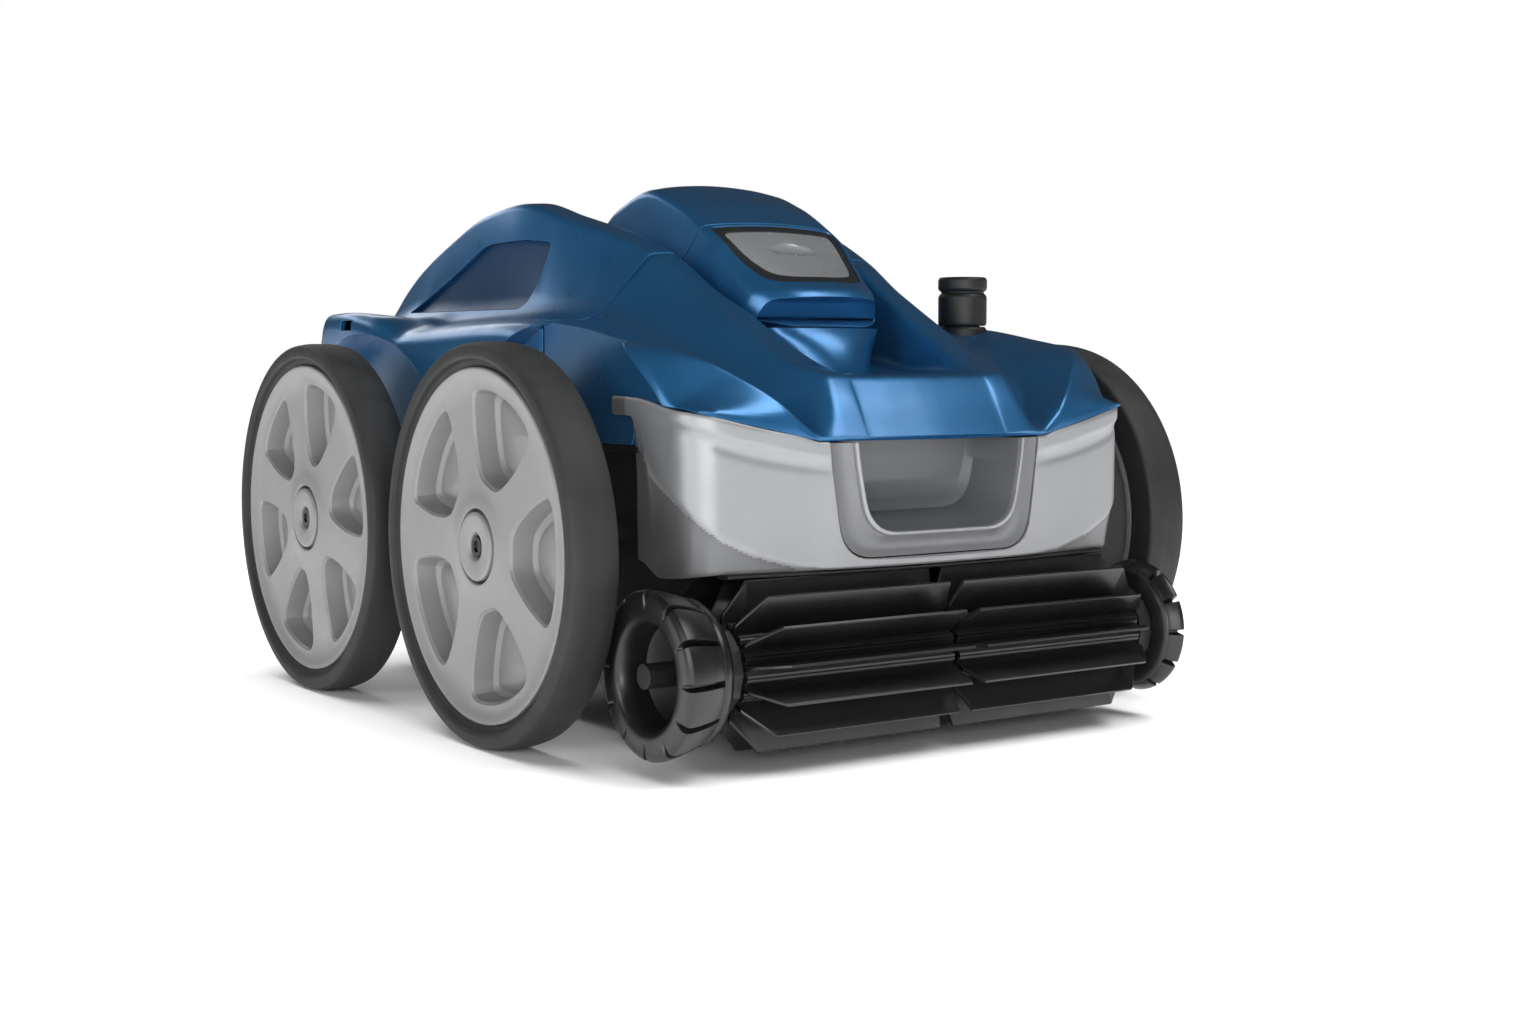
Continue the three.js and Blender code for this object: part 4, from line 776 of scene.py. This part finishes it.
def bumper_dent(run, z):
    """How far a place on the bumper lies behind its outermost surface."""
    ridge = RIDGE(run)[0]
    panel = PANEL_TOP(run)[0]
    start = min(1, max(0, (run - 62) / 14))
    band = step(ridge - z, 2.4) * (1.0 + 1.1 * min(1, max(0, (ridge - z) / max(1, ridge - panel))))
    dent = start * (band - 0.9 * step(panel - z, 1.2))
    below = PANEL_FOOT(run)[0] - z
    limit = 3.5 if run < 116 else min(7.5, 3.5 + (run - 116) * 0.4)
    dent += 0.7 * step(below, 1.8)
    return dent + limit * (1 - math.exp(-0.24 * max(0, below) / limit))


def bumper_ring(run):
    size = abs(run)
    side = -1 if run < 0 else 1
    x, y, out_x, out_y = bumper_path(size)
    low = BUMPER_LOW(size)[0]
    high = BUMPER_TOP(size)[0]
    heights = [low + (high - low) * k / 64 for k in range(65)]

    def place(z, depth):
        return (side * (x - out_x * depth), along(y - out_y * depth), z)

    front = [place(z, bumper_dent(size, z) + (0.7 if k in (0, 64) else 0)) for k, z in enumerate(heights)]
    return front + [place(z, bumper_dent(size, z) + BUMPER_WALL) for z in reversed(heights)]


runs = [2.5 * n for n in range(49)] + [121.5 + 1.5 * n for n in range(22)]
runs += [155 + 3 * n for n in range(16)] + [WALL_END]
stations = sorted({side * run for side in (-1, 1) for run in runs})
shell = loft([bumper_ring(run) for run in stations], (0, 2))
# The side walls end in a leaning edge below the strap.
trims = []
for side in (-1, 1):
    outline = [(along(-51.3), 60), (along(-51.3), 92), (along(-52.6), 115), (along(-55.7), 140), (along(-59.2), 162),
               (along(-57.6), 164.4), (along(-20), 165), (along(-20), 60)]
    trims.append(prism_x(outline, *sorted((side * 125, side * 170))))
shell = carve(shell, trims)


def scoop_outline(grow, floor):
    corners = [(-(53 + grow), 200), (-(52 + grow), 150), (-(44 + grow), floor - grow), (44 + grow, floor - grow),
               (52 + grow, 150), (53 + grow, 200)]
    return fillet([Vector(p) for p in corners], [1, 12, 17, 17, 12, 1], 7)


def scoop_loft(rows):
    """rows hold how far behind the front axle, how far the outline grows, and its floor."""
    rings = []
    for y, grow, floor in rows:
        rings.append([(p.x, along(y) + bow(p.x) * 0.9, p.y) for p in scoop_outline(grow, floor)])
    return loft(rings)


mouth = scoop_loft([(-135, 16.4, 110), (-122.6, 15.6, 110), (-121.4, 14.8, 110), (-108, 14.6, 110)])
shell = carve(shell, [mouth])
piece("bumper_fine", shell, "silver_plastic", "chassis", ["front_bumper"], 34)
# The undercut corners and the straps behind them take a darker copy of the silver: painted shade where these faces
# turn away from the light.
CORNER_PAINTED_SHADE_FROM = 84
STRAP_PAINTED_SHADE_FROM = 186
bumper = bpy.data.objects["bumper_fine"]
bumper.data.materials.append(PAINTED_SHADE_SILVER)
for face in bumper.data.polygons:
    spot = face.center / MM
    run = abs(spot.x)
    if run >= CORNER_X:
        run = CORNER_X + math.hypot(run - CORNER_X, spot.y - along(bow(CORNER_X) + BUMPER_FRONT))
    if (run > CORNER_PAINTED_SHADE_FROM and spot.z < PANEL_FOOT(run)[0] - 0.6) or run > STRAP_PAINTED_SHADE_FROM:
        face.material_index = 1

# A hollow band runs round the scoop and rises to a bright rim; the band carries painted shade (the darker copy of the
# silver).
bucket = scoop_loft([(-122.4, 2.8, 108.6), (-121.6, 4.2, 109), (-120.2, 6.6, 109.4), (-119.5, 9.4, 109.8),
                     (-119.8, 12, 110),
                     (-120.9, 14.2, 110), (-117.6, 13.6, 110), (-114.6, 6, 110), (-112.0, 3.0, 109), (-90, 1.0, 110),
                     (-84.2, -2, 112)])
dish = scoop_loft([(-125, 0.7, 108.4), (-119.0, 0.2, 108.4), (-92, -2.6, 113), (-88, -5.5, 116)])
above = block(-FAR, FAR, -800, 800, 151.6, 500)
# Painted shade: the band and bucket use the darker copy of the silver, the rim keeps the plain silver.
piece("bumper_scoop", carve(bucket, [dish, copy_of(above)]), "silver_plastic", "chassis", (), 34, PAINTED_SHADE_SILVER)
rim = scoop_loft([(-124.4, 1.5, 108.5), (-124.0, 2.3, 108.5), (-122.5, 2.7, 108.5)])
rim = carve(rim, [scoop_loft([(-126, 1.3, 108.5), (-124.1, 0.8, 108.5), (-120, 0.6, 108.5)]), above])
piece("bumper_scoop_rim", rim, "silver_plastic", "chassis", (), 34)
# Black lip under the bumper.
lip = []
for x in [k * 5 for k in range(-24, 25)]:
    y = along(BUMPER_FRONT + bow(x) + 2.2)
    section = [(0.4, 88.6), (-0.8, 89.2), (-0.8, 90.2), (0.4, 90.8), (9, 90.8), (9, 88.6)]
    lip.append([(x, y + back, z) for back, z in section])
piece("bumper_lip", loft(lip, (1, 2)), "black_plastic", "chassis", (), 34)

# ---------- Fin vents ----------
for hand, side in (("left", -1), ("right", 1)):
    panel = carve(cowl_skin(1.9, 60, 270), [cowl_skin(3.4, 50, 280)])
    panel = carve(panel, [prism_x(vent_outline(0.25), *sorted((side * 90, side * FAR)))], "INTERSECT")
    piece(hand + "_fin_vent_fine", panel, "deep_blue", "chassis", [hand + "_fin_vent"], 32)

# ---------- Hose inlet ----------
cx, cy = inlet[0] / MM, inlet[1] / MM
sleeve = rounded([(7.5, 195), (10, 195), (10, 210.4), (13.4, 210.4), (13.9, 212), (13.9, 226.6),
                  (13.2, 228.2), (12.2, 228.8),
                  (12.2, 229.8), (13.4, 230.4), (14, 231.6), (14, 236.6), (13, 238), (8.6, 238), (7.5, 237)], 0.5, 3)
piece("inlet_sleeve_fine", turned(sleeve, (cx, cy), 96, "Z"), "black_plastic", "hose_swivel", ["swivel_sleeve"], 34)
socket = rounded([(7.6, 174), (10, 174), (10, 186), (13, 186), (13, 197), (14, 198), (13.8, 208.4),
                  (12.8, 209.8), (10.4, 209.8),
                  (10.4, 194), (7.6, 194)], 0.5, 3)
piece("inlet_socket_fine", turned(socket, (cx, cy), 96, "Z"), "black_plastic", "chassis", ["inlet_socket"], 34)

# ---------- Floor and light ----------
floor_mesh = bpy.data.meshes.new("floor")
HALF_FLOOR = 80
corners = [(-HALF_FLOOR, -HALF_FLOOR, 0), (HALF_FLOOR, -HALF_FLOOR, 0), (HALF_FLOOR, HALF_FLOOR, 0),
           (-HALF_FLOOR, HALF_FLOOR, 0)]
floor_mesh.from_pydata(corners, [], [(0, 1, 2, 3)])
floor = bpy.data.objects.new("floor", floor_mesh)
bpy.context.scene.collection.objects.link(floor)
floor_look = bpy.data.materials.new("floor_look")
floor_look.use_nodes = True
paper = floor_look.node_tree.nodes["Principled BSDF"]
paper.inputs["Base Color"].default_value = (0.9, 0.9, 0.9, 1)
paper.inputs["Roughness"].default_value = 0.9
paper.inputs["Specular IOR Level"].default_value = 0.1
floor_mesh.materials.append(floor_look)
floor_only = bpy.data.collections.new("floor_only")
floor_only.objects.link(floor)
sun = bpy.data.objects.new("floor_sun", bpy.data.lights.new("floor_sun", "SUN"))
sun.data.energy = 3.6
sun.data.angle = math.radians(70)
sun.light_linking.receiver_collection = floor_only
bpy.context.scene.collection.objects.link(sun)


def softbox(name, place, target, size, power):
    data = bpy.data.lights.new(name, "AREA")
    data.shape = "RECTANGLE"
    data.size, data.size_y = size
    data.energy = power
    lamp = bpy.data.objects.new(name, data)
    lamp.location = place
    lamp.rotation_euler = (Vector(target) - Vector(place)).to_track_quat("-Z", "Y").to_euler()
    bpy.context.scene.collection.objects.link(lamp)


softbox("front", (-0.9, -1.8, 0.42), (0, -0.1, 0.15), (1.5, 0.6), 16)
softbox("left", (-1.9, -0.5, 0.55), (-0.15, 0, 0.13), (1.0, 0.7), 9)
softbox("brow", (0.55, -1.0, 1.5), (0, -0.1, 0.2), (1.0, 0.7), 10)
softbox("rim", (-0.2, 1.5, 0.9), (0, 0.1, 0.2), (1.6, 0.3), 3.5)

world = bpy.data.worlds.new("studio")
bpy.context.scene.world = world
world.use_nodes = True
tree = world.node_tree
tree.nodes.clear()
out = tree.nodes.new("ShaderNodeOutputWorld")
seen = node(tree, "ShaderNodeBackground", Strength=1.0)
seen.inputs["Color"].default_value = (1, 1, 1, 1)
lit = node(tree, "ShaderNodeBackground", Strength=0.055)
lit.inputs["Color"].default_value = (1, 1, 1, 1)
mix = tree.nodes.new("ShaderNodeMixShader")
path = tree.nodes.new("ShaderNodeLightPath")
tree.links.new(path.outputs["Is Camera Ray"], mix.inputs[0])
tree.links.new(lit.outputs[0], mix.inputs[1])
tree.links.new(seen.outputs[0], mix.inputs[2])
tree.links.new(mix.outputs[0], out.inputs[0])
bpy.context.scene.view_settings.view_transform = "Standard"
